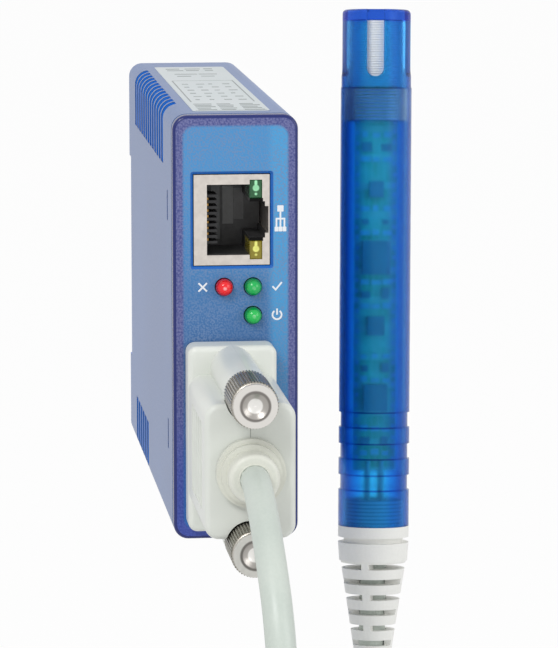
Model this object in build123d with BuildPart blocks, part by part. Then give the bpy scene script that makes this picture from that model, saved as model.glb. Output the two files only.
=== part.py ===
from build123d import *

import os
from math import cos, pi, radians, sin, tan

# Ethernet thermo-hygrometer: a slim network housing for a 35 mm rail, with a combined
# temperature and humidity probe on a plug-in cable. Millimetres, +Z up. The origin is the
# middle of the seat that lies against the rail. +X is to the right seen from the front,
# +Y points into the rail and the front panel faces -Y.

# Housing shell
housing_width = 22.0
housing_height = 75.0
housing_depth = 105.0
housing_wall = 2.0
housing_corner = 2.6
inner_corner = 0.6
rear_edge_round = 1.2

# Rail seat, fixed hook and sprung latch
rail_width = 35.0
rail_lip = 1.0
rail_play = 0.3
recess_depth = 5.0
recess_above = 19.2
recess_below = 21.0
hook_reach = 1.9
hook_width = 14.0
hook_lead_in = 1.6
latch_width = 9.0
latch_flange_width = 13.0
latch_flange_thickness = 1.4
latch_rear_recess = 0.2
latch_shelf = 1.2
latch_tail = 3.0
latch_travel = 3.0
latch_slot_width = 4.0
latch_slot_height = 1.2
slide_clearance = 0.15
spring_height = 5.3
spring_strip = 0.5
spring_waves = 3

# Vent slots in the left wall, carried round the corner onto the top and the bottom
vent_pitch = 5.25
vent_width = 3.9
upper_vent_count = 13
lower_vent_count = 6
vent_reach = 10.6
vent_wrap = 2.45
vent_rear_margin = 17.45

# Front panel, set off from the shell by a shadow gap and held by snap tongues
panel_thickness = 2.2
panel_edge_round = 0.7
shadow_gap = 0.8
skirt_thickness = 0.9
skirt_length = 2.4
panel_fit = 0.1
tongue_thickness = 1.0
tongue_height = 5.0
tongue_spread = 41.0
window_front = 8.4
window_length = 1.8
window_fit = 0.15

# Main circuit board and its guide ribs
board_thickness = 1.6
board_side_gap = 1.4
board_front_gap = 5.0
board_rear_gap = 2.0
board_edge_gap = 0.9
guide_rib_width = 0.8
guide_rib_height = 2.0
guide_fit = 0.1
guide_front_gap = 19.2
guide_rear_gap = 2.4
chip_height = 1.4
processor_side = 14.0
memory_length = 11.0
memory_width = 8.0
memory_drop = 17.3
transformer_side = 12.0
transformer_height = 6.0
transformer_lift = 17.3
capacitor_diameter = 6.3
capacitor_height = 7.5
capacitor_spacing = 9.0
capacitor_setback = 22.8

# Network jack
jack_drop = 18.4
jack_width = 13.3
jack_height = 15.9
jack_depth = 21.0
jack_recess = 0.4
jack_shield_sheet = 0.4
jack_window_gap = 0.15
jack_window_chamfer = 0.5
jack_cavity_height = 12.4
jack_cavity_left = 4.35
jack_cavity_right = 3.15
jack_cavity_depth = 13.0
latch_bay_height = 6.4
latch_bay_depth = 2.7
latch_notch_height = 4.7
latch_notch_depth = 0.6
jack_led_width = 2.2
jack_led_height = 3.3
jack_led_depth = 8.0
jack_led_spread = 10.7
contact_count = 8
contact_pitch = 1.02
contact_wire = 0.4
contact_setback = 1.0
contact_foot = 2.5
contact_rise = 1.4
contact_run = 7.0

# Indicator lamps
led_diameter = 3.0
led_hole_gap = 0.15
led_flange_diameter = 3.9
led_flange_thickness = 0.6
led_stand_out = 0.6
led_board_distance = 3.0
led_drop = 11.75
led_step = 5.05
lead_wire = 0.5
lead_spread = 2.54
lead_bend_near = 3.0
lead_bend_far = 5.5

# Nine-way socket and the plug that mates with it
plug_board_distance = 7.15
plug_rise = 18.9
screw_spacing = 25.0
connector_flange_width = 12.5
connector_flange_height = 30.8
connector_flange_sheet = 1.0
connector_flange_corner = 0.8
connector_face_length = 16.1
connector_face_width = 7.5
connector_side_angle = 80.0
connector_corner = 2.0
connector_sheet = 0.4
connector_mating_gap = 0.15
socket_reach = 5.8
socket_body_depth = 8.8
socket_body_height = 19.4
pin_pitch = 2.77
long_row_pins = 5
short_row_pins = 4
pin_row_spacing = 2.84
pin_diameter = 1.0
pin_hole_gap = 0.2
pin_hole_depth = 7.0
plug_pin_length = 4.7
plug_shell_length = 5.3
plug_body_depth = 9.0
plug_insert_fit = 0.1
pin_tail = 1.0
socket_tail_step = 1.2
standoff_across_flats = 5.0
standoff_length = 4.8
standoff_bore = 3.1
panel_cut_gap = 0.5

# Plug hood, in two halves that part on the middle plane
hood_panel_gap = 0.5
hood_flange_width = 15.5
hood_flange_height = 32.8
hood_flange_depth = 5.5
hood_flange_corner = 1.6
hood_flange_round = 1.0
hood_block_width = 15.3
hood_block_height = 23.0
hood_block_corner = 2.4
hood_length = 35.5
hood_front_round = 1.0
hood_wall = 2.0
hood_tube_diameter = 7.8
hood_tube_length = 30.7
hood_fit = 0.3
grip_depth = 0.5
grip_height = 15.0
grip_length = 18.0
grip_ridge = 1.2
grip_ridge_count = 4

# Thumbscrews
knurl_diameter = 8.0
knurl_length = 11.4
knurl_flute = 0.3
knurl_count = 48
screw_gap = 0.3
screw_nose_diameter = 7.4
screw_nose_length = 1.3
screw_dimple_diameter = 4.4
screw_dimple_depth = 0.8
screw_shaft = 2.9
screw_bore = 3.5
screw_tip_gap = 0.7

# Cable bush of the hood
gland_ring_diameter = 11.7
gland_ring_length = 1.4
gland_step_diameter = 10.2
gland_step_length = 1.2
gland_boss_diameter = 8.5
gland_boss_length = 4.4
gland_boss_round = 0.8
gland_neck_diameter = 8.6
gland_collar_diameter = 10.6
gland_collar_length = 1.6
gland_fit = 0.1

# Cable
cable_diameter = 5.0
cable_fit = 0.03
bend_share = 0.45
boot_lead = 12.0
cable_stop = 5.0
turn_pitch = 5.2
coil_outer_radius = 35.0
coil_turns_across = 4
coil_turns_deep = 2.3
coil_x = 18.6
coil_y = -86.0
coil_z = -110.0
coil_corner = 2.5
tie_thickness = 1.0
tie_width = 5.0
tie_fit = 0.2

# Probe. Heights are measured along its axis from the lower end of the blue tube.
probe_x = 31.7
probe_y = -46.4
probe_z = -47.0
probe_lean = 6.3
probe_side_lean = 1.02
probe_diameter = 13.5
probe_wall = 1.2
probe_tube_length = 83.5
probe_groove_width = 2.9
probe_groove_depth = 0.36
probe_groove_pitch = 5.98
probe_groove_first = 6.95
probe_groove_count = 3
probe_end_round = 0.5
cap_length = 14.8
cap_step = 0.12
cap_wall = 1.6
cap_top = 2.0
cap_edge_round = 0.8
cap_slot_count = 4
cap_slot_width = 3.2
cap_slot_turn = -9.4
cap_slot_lower_end = 2.1
spigot_length = 6.4
spigot_wall = 1.2
spigot_fit = 0.05
filter_wall = 0.5
filter_fit = 0.15
probe_board_width = 8.0
probe_board_thickness = 1.2
probe_board_start = 10.6
probe_board_top_gap = 1.0
sensor_side = 4.0
sensor_height = 1.5
# Chips on the probe's board: height above its lower end, width and length
probe_chips = [(13.8, 4.4, 5.2), (27.6, 3.2, 3.6), (40.6, 5.2, 6.4), (53.6, 2.6, 3.0)]
probe_chip_height = 1.4
wire_diameter = 0.9
wire_lap = 1.8
wire_spread = 2.6

# Bend relief of the probe
boot_spigot_length = 5.0
boot_spigot_fit = 0.1
boot_cable_fit = 0.1
boot_ring_length = 2.1
boot_neck_diameter = 11.3
boot_neck_length = 1.05
boot_collar_length = 3.5
boot_collar_end_diameter = 13.0
boot_cone_top_diameter = 12.5
boot_cone_end_diameter = 6.4
boot_cone_length = 20.0
boot_slot_height = 1.1
boot_slot_step = 2.95
boot_slot_first = 0.4
boot_slot_count = 6
boot_web = 1.45
boot_turn = -22.5

# Places that follow from the sizes above
rear_y = recess_depth
front_y = rear_y - housing_depth
panel_rear_y = front_y + panel_thickness
shell_front_y = panel_rear_y + shadow_gap
inner_width = housing_width - 2 * housing_wall
inner_height = housing_height - 2 * housing_wall
board_face_x = inner_width / 2 - board_side_gap - board_thickness
jack_x = board_face_x - jack_width / 2
jack_z = housing_height / 2 - jack_drop
led_column_x = board_face_x - led_board_distance
led_row_z = jack_z - led_drop
plug_x = board_face_x - plug_board_distance
plug_z = plug_rise - housing_height / 2
overrun = 1.0


def facing_front(y, x=0.0, z=0.0):
    """A plane across the depth: local x to the right, local y up, extruding to the front."""
    return Plane(origin=(x, y, z), x_dir=(1, 0, 0), z_dir=(0, -1, 0))


def finish(builder, name):
    """Label a piece and write it to its own file."""
    builder.part.label = name
    export_step(builder.part, f"parts/{name}.step")


os.makedirs("parts", exist_ok=True)

# Housing body: rounded block, hollowed from the front
hook_front_y = rail_lip + rail_play
latch_front_y = hook_front_y
latch_rear_y = rear_y - latch_rear_recess
latch_step_y = latch_front_y + latch_flange_thickness
latch_shelf_z = -housing_height / 2 + latch_shelf
latch_tip_z = hook_reach - rail_width / 2
latch_flange_top_z = -recess_below
latch_flange_low_z = latch_shelf_z + spring_height
latch_flange_length = latch_flange_top_z - latch_flange_low_z
guide_front_y = shell_front_y + guide_front_gap
guide_rear_y = -housing_wall - guide_rear_gap
guide_y = (guide_front_y + guide_rear_y) / 2
guide_length = guide_rear_y - guide_front_y
window_y = shell_front_y + window_front

with BuildPart() as housing_body:
    with BuildSketch(facing_front(rear_y)):
        RectangleRounded(housing_width, housing_height, housing_corner)
    extrude(amount=rear_y - shell_front_y)
    fillet(housing_body.faces().sort_by(Axis.Y)[-1].edges(), rear_edge_round)
    with BuildSketch(facing_front(-housing_wall)):
        RectangleRounded(inner_width, inner_height, inner_corner)
    extrude(amount=-housing_wall - shell_front_y, mode=Mode.SUBTRACT)
    # Rail recess across the back, and the hollow above it
    with BuildSketch(Plane.YZ):
        with Locations((rear_y, (recess_above - recess_below) / 2)):
            Rectangle(2 * recess_depth, recess_above + recess_below)
    extrude(amount=housing_width, both=True, mode=Mode.SUBTRACT)
    hollow_low_z = recess_above + housing_wall
    hollow_rear_y = rear_y - housing_wall
    with BuildSketch(Plane.YZ):
        with Locations(((hollow_rear_y - housing_wall) / 2, (hollow_low_z + inner_height / 2) / 2)):
            Rectangle(hollow_rear_y + housing_wall, inner_height / 2 - hollow_low_z)
    extrude(amount=inner_width / 2, both=True, mode=Mode.SUBTRACT)
    # Fixed hook behind the rail's upper lip
    hook_tip_z = rail_width / 2 - hook_reach
    with BuildSketch(Plane.YZ):
        with BuildLine():
            Polyline(
                (hook_front_y, recess_above + overrun),
                (hook_front_y, hook_tip_z),
                ((hook_front_y + rear_y) / 2, hook_tip_z),
                (rear_y, hook_tip_z + hook_lead_in),
                (rear_y, recess_above + overrun),
                close=True,
            )
        make_face()
    extrude(amount=hook_width / 2, both=True)
    # T-shaped channel for the latch in the lower block
    channel_depth = rear_y - latch_step_y + slide_clearance
    with BuildSketch(Plane.XY.offset(latch_shelf_z)):
        with Locations((0, latch_front_y + latch_flange_thickness / 2)):
            Rectangle(
                latch_flange_width + 2 * slide_clearance,
                latch_flange_thickness + 2 * slide_clearance,
            )
    extrude(amount=-recess_below - latch_shelf_z, mode=Mode.SUBTRACT)
    with BuildSketch(Plane.XY.offset(-housing_height / 2 - overrun)):
        with Locations((0, rear_y - channel_depth / 2)):
            Rectangle(latch_width + 2 * slide_clearance, channel_depth)
    extrude(amount=housing_height / 2 + overrun - recess_below, mode=Mode.SUBTRACT)
    # Vent slots through the left wall and round its corners
    vent_height = vent_reach + overrun
    upper_vent_y = rear_y - vent_rear_margin - vent_width / 2 - vent_pitch * (upper_vent_count - 1) / 2
    lower_vent_y = rear_y - vent_rear_margin - vent_width / 2 - vent_pitch * (lower_vent_count - 1) / 2
    vent_z = housing_height / 2 - vent_reach + vent_height / 2
    with BuildSketch(Plane.YZ.offset(-housing_width / 2)):
        with Locations((upper_vent_y, vent_z)):
            with GridLocations(vent_pitch, 1, upper_vent_count, 1):
                Rectangle(vent_width, vent_height)
        with Locations((lower_vent_y, -vent_z)):
            with GridLocations(vent_pitch, 1, lower_vent_count, 1):
                Rectangle(vent_width, vent_height)
    extrude(amount=vent_wrap, mode=Mode.SUBTRACT)
    # Snap windows for the front panel's tongues
    with BuildSketch(Plane.YZ):
        with Locations((window_y, 0)):
            with GridLocations(1, tongue_spread, 1, 2):
                Rectangle(window_length, tongue_height + 2 * window_fit)
    extrude(amount=housing_width, both=True, mode=Mode.SUBTRACT)
    # Guide ribs for the circuit board along the top and bottom walls
    near_rib_x = board_face_x - guide_fit - guide_rib_width / 2
    far_rib_x = board_face_x + board_thickness + guide_fit + guide_rib_width / 2
    for rib_x in (near_rib_x, far_rib_x):
        for rib_side in (-1, 1):
            with Locations((rib_x, guide_y, rib_side * (inner_height - guide_rib_height) / 2)):
                Box(guide_rib_width, guide_length, guide_rib_height)
finish(housing_body, "housing_body")

# Rail latch: sliding catch with a screwdriver slot in its tail
latch_low_z = -housing_height / 2 - latch_tail

with BuildPart() as rail_latch:
    with BuildSketch(Plane.YZ):
        with BuildLine():
            Polyline(
                (latch_front_y, latch_tip_z),
                ((latch_front_y + latch_rear_y) / 2, latch_tip_z),
                (latch_rear_y, latch_tip_z - hook_lead_in),
                (latch_rear_y, latch_low_z),
                (latch_step_y, latch_low_z),
                (latch_step_y, latch_flange_low_z),
                (latch_front_y, latch_flange_low_z),
                close=True,
            )
        make_face()
    extrude(amount=latch_width / 2, both=True)
    with BuildSketch(Plane.XY.offset(latch_flange_low_z)):
        with Locations((0, latch_front_y + latch_flange_thickness / 2)):
            Rectangle(latch_flange_width, latch_flange_thickness)
    extrude(amount=latch_flange_length - slide_clearance)
    with BuildSketch(facing_front(latch_rear_y + overrun)):
        with Locations((0, -housing_height / 2 - latch_tail / 2)):
            Rectangle(latch_slot_width, latch_slot_height)
    extrude(amount=housing_depth, mode=Mode.SUBTRACT)
finish(rail_latch, "rail_latch")

# Latch spring: waved strip between the latch's flange and the shelf of its channel
spring_span = latch_flange_width - 2 * spring_strip
spring_half_wave = spring_span / (2 * spring_waves)
spring_rise = spring_height - spring_strip

with BuildPart() as latch_spring:
    with BuildSketch(facing_front(latch_step_y - slide_clearance)):
        with BuildLine():
            Polyline(
                *[
                    (
                        -spring_span / 2 + step * spring_half_wave,
                        latch_shelf_z + spring_strip / 2 + spring_rise * (step % 2),
                    )
                    for step in range(2 * spring_waves + 1)
                ]
            )
            offset(amount=spring_strip / 2)
        make_face()
    extrude(amount=latch_flange_thickness - 2 * slide_clearance)
finish(latch_spring, "latch_spring")

# Front panel: cap with a skirt, four snap tongues and its cut-outs
skirt_rear_y = panel_rear_y + skirt_length
tongue_rear_y = window_y + window_length / 2 + overrun
tongue_x = inner_width / 2 - panel_fit - tongue_thickness / 2
barb_reach = housing_width / 2 - tongue_x
error_led_x = led_column_x - led_step
power_led_z = led_row_z - led_step
led_places = [(error_led_x, led_row_z), (led_column_x, led_row_z), (led_column_x, power_led_z)]
jack_window_width = jack_width + 2 * jack_window_gap
jack_window_height = jack_height + 2 * jack_window_gap


def connector_outline(sketch, grow):
    """Draw the outline of the nine-way connector's face, grown all round, in a sketch."""
    Trapezoid(connector_face_length, connector_face_width, connector_side_angle, rotation=90)
    fillet(sketch.vertices(), connector_corner)
    offset(amount=grow)


socket_shell_grow = connector_sheet
plug_shell_inner_grow = socket_shell_grow + connector_mating_gap
plug_shell_grow = plug_shell_inner_grow + connector_sheet

with BuildPart() as front_panel:
    with BuildSketch(facing_front(panel_rear_y)):
        RectangleRounded(housing_width, housing_height, housing_corner)
    extrude(amount=panel_thickness)
    fillet(front_panel.faces().sort_by(Axis.Y)[0].edges(), panel_edge_round)
    skirt_width = inner_width - 2 * panel_fit
    skirt_height = inner_height - 2 * panel_fit
    with BuildSketch(facing_front(skirt_rear_y)):
        RectangleRounded(skirt_width, skirt_height, inner_corner)
        Rectangle(
            skirt_width - 2 * skirt_thickness,
            skirt_height - 2 * skirt_thickness,
            mode=Mode.SUBTRACT,
        )
    extrude(amount=skirt_length)
    for side in (-1, 1):
        tongue_length = tongue_rear_y - panel_rear_y
        with Locations(
            (side * tongue_x, panel_rear_y + tongue_length / 2, tongue_spread / 2),
            (side * tongue_x, panel_rear_y + tongue_length / 2, -tongue_spread / 2),
        ):
            Box(tongue_thickness, tongue_length, tongue_height)
        with Locations(
            (side * (tongue_x + barb_reach / 2), window_y, tongue_spread / 2),
            (side * (tongue_x + barb_reach / 2), window_y, -tongue_spread / 2),
        ):
            Box(barb_reach - window_fit, window_length - 2 * window_fit, tongue_height)
    with BuildSketch(facing_front(panel_rear_y + overrun)):
        with Locations((jack_x, jack_z)):
            RectangleRounded(jack_window_width, jack_window_height, jack_window_gap)
        with Locations(*led_places):
            Circle(led_diameter / 2 + led_hole_gap)
    extrude(amount=panel_thickness + 2 * overrun, mode=Mode.SUBTRACT)
    with BuildSketch(facing_front(panel_rear_y + overrun, plug_x, plug_z)) as plug_window:
        connector_outline(plug_window, plug_shell_grow + panel_cut_gap)
        with GridLocations(1, screw_spacing, 1, 2):
            Circle(standoff_across_flats / 2 + 2 * panel_cut_gap)
    extrude(amount=panel_thickness + 2 * overrun, mode=Mode.SUBTRACT)
    jack_window_edges = (
        front_panel.edges()
        .filter_by_position(Axis.Y, front_y, front_y)
        .filter_by_position(Axis.Z, jack_z - jack_window_height / 2, jack_z + jack_window_height / 2)
        .filter_by_position(Axis.X, jack_x - jack_window_width / 2, jack_x + jack_window_width / 2)
    )
    chamfer(jack_window_edges, jack_window_chamfer)
finish(front_panel, "front_panel")

# Main board, standing on edge between the guide ribs
board_front_y = front_y + board_front_gap
board_rear_y = -housing_wall - board_rear_gap
board_height = inner_height - 2 * board_edge_gap
board_length = board_rear_y - board_front_y
board_middle_y = (board_rear_y + board_front_y) / 2

with BuildPart() as main_board:
    with BuildSketch(Plane.YZ.offset(board_face_x)):
        with Locations((board_middle_y, 0)):
            Rectangle(board_length, board_height)
    extrude(amount=board_thickness)
    fillet(main_board.edges().filter_by(Axis.X), board_thickness / 2)
finish(main_board, "main_board")

# Parts soldered on the board: processor, memory, network transformer, regulator and capacitors
with BuildPart() as board_chips:
    with BuildSketch(Plane.YZ.offset(board_face_x)):
        with Locations((board_middle_y, 0)):
            Rectangle(processor_side, processor_side)
        with Locations((board_middle_y, -memory_drop)):
            Rectangle(memory_length, memory_width)
    extrude(amount=-chip_height)
    with BuildSketch(Plane.YZ.offset(board_face_x)):
        with Locations((board_middle_y, transformer_lift)):
            Rectangle(transformer_side, transformer_side)
    extrude(amount=-transformer_height)
    with BuildSketch(Plane.YZ.offset(board_face_x)):
        with Locations((board_middle_y + capacitor_setback, 0)):
            with GridLocations(1, capacitor_spacing, 1, 2):
                Circle(capacitor_diameter / 2)
    extrude(amount=-capacitor_height)
finish(board_chips, "board_chips")

# Network jack: shield, insert, contact wires and two light windows. The lock of the plug
# faces the board, so the contacts are on the left.
jack_front_y = front_y + jack_recess
jack_rear_y = jack_front_y + jack_depth
jack_led_x = jack_cavity_right + jack_led_width / 2
bay_x = jack_cavity_right + latch_bay_depth / 2
notch_x = jack_cavity_right + latch_bay_depth + latch_notch_depth / 2


def jack_mouth():
    """Outline of the socket's mouth, with the bay for the plug's lock on the right."""
    with Locations(((jack_cavity_right - jack_cavity_left) / 2, 0)):
        Rectangle(jack_cavity_left + jack_cavity_right, jack_cavity_height)
    with Locations((bay_x, 0)):
        Rectangle(latch_bay_depth, latch_bay_height)
    with Locations((notch_x, 0)):
        Rectangle(latch_notch_depth, latch_notch_height)


with BuildPart() as network_jack_shield:
    with BuildSketch(facing_front(jack_rear_y, jack_x, jack_z)):
        Rectangle(jack_width, jack_height)
    extrude(amount=jack_depth)
    with BuildSketch(facing_front(jack_rear_y, jack_x, jack_z)):
        Rectangle(jack_width - 2 * jack_shield_sheet, jack_height - 2 * jack_shield_sheet)
    extrude(amount=jack_depth - jack_shield_sheet, mode=Mode.SUBTRACT)
    with BuildSketch(facing_front(jack_rear_y, jack_x, jack_z)):
        jack_mouth()
        with Locations((jack_led_x, 0)):
            with GridLocations(1, jack_led_spread, 1, 2):
                Rectangle(jack_led_width, jack_led_height)
    extrude(amount=jack_depth + overrun, mode=Mode.SUBTRACT)
finish(network_jack_shield, "network_jack_shield")

insert_front_y = jack_front_y + jack_shield_sheet

with BuildPart() as network_jack_insert:
    with BuildSketch(facing_front(jack_rear_y, jack_x, jack_z)):
        Rectangle(jack_width - 2 * jack_shield_sheet, jack_height - 2 * jack_shield_sheet)
    extrude(amount=jack_depth - jack_shield_sheet)
    with BuildSketch(facing_front(insert_front_y + jack_cavity_depth, jack_x, jack_z)):
        jack_mouth()
    extrude(amount=jack_cavity_depth, mode=Mode.SUBTRACT)
    with BuildSketch(facing_front(insert_front_y + jack_led_depth, jack_x, jack_z)):
        with Locations((jack_led_x, 0)):
            with GridLocations(1, jack_led_spread, 1, 2):
                Rectangle(jack_led_width, jack_led_height)
    extrude(amount=jack_led_depth, mode=Mode.SUBTRACT)
finish(network_jack_insert, "network_jack_insert")

contact_wall_x = jack_x - jack_cavity_left
contact_front_y = insert_front_y + contact_setback
contact_rear_y = contact_front_y + contact_foot + contact_run

with BuildPart() as network_jack_contacts:
    with BuildSketch(Plane.XY.offset(jack_z - contact_wire / 2)):
        with BuildLine():
            Polyline(
                (contact_wall_x, contact_front_y),
                (contact_wall_x, contact_front_y + contact_foot),
                (contact_wall_x + contact_rise, contact_rear_y),
                (contact_wall_x + contact_rise + contact_wire, contact_rear_y),
                (contact_wall_x + contact_wire, contact_front_y + contact_foot),
                (contact_wall_x + contact_wire, contact_front_y),
                close=True,
            )
        make_face()
    contact_blank = extrude(amount=contact_wire, mode=Mode.PRIVATE)
    contact_span = contact_pitch * (contact_count - 1)
    with Locations(*[(0, 0, contact_pitch * step - contact_span / 2) for step in range(contact_count)]):
        add(contact_blank)
finish(network_jack_contacts, "network_jack_contacts")


def jack_light(side):
    """Light window in one corner of the jack, flush with the shield."""
    with BuildPart() as light:
        light_z = jack_z + side * jack_led_spread / 2
        with BuildSketch(facing_front(insert_front_y + jack_led_depth, jack_x + jack_led_x, light_z)):
            Rectangle(jack_led_width, jack_led_height)
        extrude(amount=jack_led_depth + jack_shield_sheet)
        chamfer(light.faces().sort_by(Axis.Y)[0].edges(), jack_shield_sheet / 2)
    return light


finish(jack_light(1), "network_jack_link_led")
finish(jack_light(-1), "network_jack_activity_led")


# Indicator lamps: flanged 3 mm domes through the front panel
def indicator_led(x, z):
    """One lamp, with its flange against the back of the panel."""
    flange_rear_y = panel_rear_y + led_flange_thickness
    dome_base = flange_rear_y - front_y + led_stand_out
    with BuildPart() as led:
        with BuildSketch(Plane(origin=(x, flange_rear_y, z), x_dir=(1, 0, 0), z_dir=(0, 0, -1))):
            with BuildLine():
                Polyline(
                    (0, dome_base + led_diameter / 2),
                    (0, 0),
                    (led_flange_diameter / 2, 0),
                    (led_flange_diameter / 2, led_flange_thickness),
                    (led_diameter / 2, led_flange_thickness),
                    (led_diameter / 2, dome_base),
                )
                RadiusArc(
                    (led_diameter / 2, dome_base),
                    (0, dome_base + led_diameter / 2),
                    -led_diameter / 2,
                )
            make_face()
        revolve(axis=Axis((x, flange_rear_y, z), (0, -1, 0)))
    return led


finish(indicator_led(error_led_x, led_row_z), "error_led")
finish(indicator_led(led_column_x, led_row_z), "status_led")
finish(indicator_led(led_column_x, power_led_z), "power_led")

# Two bent leads from each lamp to the board
lead_start_y = panel_rear_y + led_flange_thickness
lead_bends = [lead_bend_far, lead_bend_near, lead_bend_near]

with BuildPart() as led_leads:
    for (lead_x, lead_z), bend in zip(led_places, lead_bends):
        for lead_side in (-1, 1):
            z = lead_z + lead_side * lead_spread / 2
            with Locations((lead_x, lead_start_y + bend / 2, z)):
                Box(lead_wire, bend, lead_wire)
            with Locations(((lead_x + board_face_x) / 2, lead_start_y + bend, z)):
                Box(board_face_x - lead_x, lead_wire, lead_wire)
finish(led_leads, "led_leads")

# Nine-way socket behind the panel
socket_flange_rear_y = panel_rear_y + connector_flange_sheet
socket_front_y = panel_rear_y - socket_reach


def pin_row(x, count):
    """Places of one upright row of pins."""
    return [(x, pin_pitch * (step - (count - 1) / 2)) for step in range(count)]


long_row = pin_row(-pin_row_spacing / 2, long_row_pins)
short_row = pin_row(pin_row_spacing / 2, short_row_pins)
pin_places = long_row + short_row

with BuildPart() as sensor_socket_shell:
    with BuildSketch(facing_front(socket_flange_rear_y, plug_x, plug_z)):
        RectangleRounded(connector_flange_width, connector_flange_height, connector_flange_corner)
    extrude(amount=connector_flange_sheet)
    with BuildSketch(facing_front(panel_rear_y, plug_x, plug_z)) as socket_rim:
        connector_outline(socket_rim, socket_shell_grow)
    extrude(amount=socket_reach)
    with BuildSketch(facing_front(socket_flange_rear_y, plug_x, plug_z)) as socket_mouth:
        connector_outline(socket_mouth, 0.0)
        with GridLocations(1, screw_spacing, 1, 2):
            Circle(standoff_bore / 2)
    extrude(amount=connector_flange_sheet + socket_reach + overrun, mode=Mode.SUBTRACT)
finish(sensor_socket_shell, "sensor_socket_shell")

with BuildPart() as sensor_socket_insert:
    with BuildSketch(facing_front(socket_flange_rear_y, plug_x, plug_z)) as socket_core:
        connector_outline(socket_core, 0.0)
    extrude(amount=connector_flange_sheet + socket_reach)
    body_left_x = plug_x - connector_flange_width / 2 + connector_sheet
    body_rear_y = socket_flange_rear_y + socket_body_depth
    with BuildSketch(facing_front(body_rear_y, (body_left_x + board_face_x) / 2, plug_z)):
        Rectangle(board_face_x - body_left_x, socket_body_height)
    extrude(amount=socket_body_depth)
    with BuildSketch(facing_front(socket_front_y + pin_hole_depth, plug_x, plug_z)):
        with Locations(*pin_places):
            Circle(pin_diameter / 2 + pin_hole_gap)
    extrude(amount=pin_hole_depth, mode=Mode.SUBTRACT)
finish(sensor_socket_insert, "sensor_socket_insert")

with BuildPart() as sensor_socket_pins:
    for row, tail_steps in ((short_row, 1), (long_row, 2)):
        tail_y = body_rear_y + tail_steps * socket_tail_step
        for pin_x, pin_z in row:
            start_x = plug_x + pin_x
            with Locations((start_x, (body_rear_y + tail_y) / 2, plug_z + pin_z)):
                Box(lead_wire, tail_y - body_rear_y, lead_wire)
            with Locations(((start_x + board_face_x) / 2, tail_y, plug_z + pin_z)):
                Box(board_face_x - start_x, lead_wire, lead_wire)
finish(sensor_socket_pins, "sensor_socket_pins")

with BuildPart() as standoffs:
    with BuildSketch(facing_front(panel_rear_y, plug_x, plug_z)):
        with GridLocations(1, screw_spacing, 1, 2):
            RegularPolygon(standoff_across_flats / 2, 6, major_radius=False)
            Circle(standoff_bore / 2, mode=Mode.SUBTRACT)
    extrude(amount=standoff_length)
finish(standoffs, "standoffs")

# Connector in the plug
plug_flange_rear_y = socket_front_y - screw_gap
plug_flange_front_y = plug_flange_rear_y - connector_flange_sheet

with BuildPart() as plug_shell:
    with BuildSketch(facing_front(plug_flange_rear_y, plug_x, plug_z)):
        RectangleRounded(connector_flange_width, connector_flange_height, connector_flange_corner)
    extrude(amount=connector_flange_sheet)
    with BuildSketch(facing_front(plug_flange_rear_y + plug_shell_length, plug_x, plug_z)) as rim:
        connector_outline(rim, plug_shell_grow)
    extrude(amount=plug_shell_length)
    with BuildSketch(facing_front(plug_flange_rear_y + plug_shell_length, plug_x, plug_z)) as mouth:
        connector_outline(mouth, plug_shell_inner_grow)
        with GridLocations(1, screw_spacing, 1, 2):
            Circle(screw_bore / 2)
    extrude(amount=plug_shell_length + connector_flange_sheet, mode=Mode.SUBTRACT)
finish(plug_shell, "plug_shell")

with BuildPart() as plug_insert:
    with BuildSketch(facing_front(plug_flange_rear_y, plug_x, plug_z)) as plug_core:
        connector_outline(plug_core, plug_shell_inner_grow - plug_insert_fit)
        with Locations(*pin_places):
            Circle(pin_diameter / 2, mode=Mode.SUBTRACT)
    extrude(amount=plug_body_depth)
finish(plug_insert, "plug_insert")

with BuildPart() as plug_pins:
    with BuildSketch(facing_front(plug_flange_rear_y + plug_pin_length, plug_x, plug_z)):
        with Locations(*pin_places):
            Circle(pin_diameter / 2)
    extrude(amount=plug_pin_length + plug_body_depth + pin_tail)
finish(plug_pins, "plug_pins")

# Plug hood: flange, block and screw tubes, hollow inside and split down the middle
hood_rear_y = front_y - hood_panel_gap
hood_front_y = hood_rear_y - hood_length
hood_tube_end_y = hood_rear_y - hood_tube_length
pocket_front_y = plug_flange_front_y - hood_fit


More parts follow.
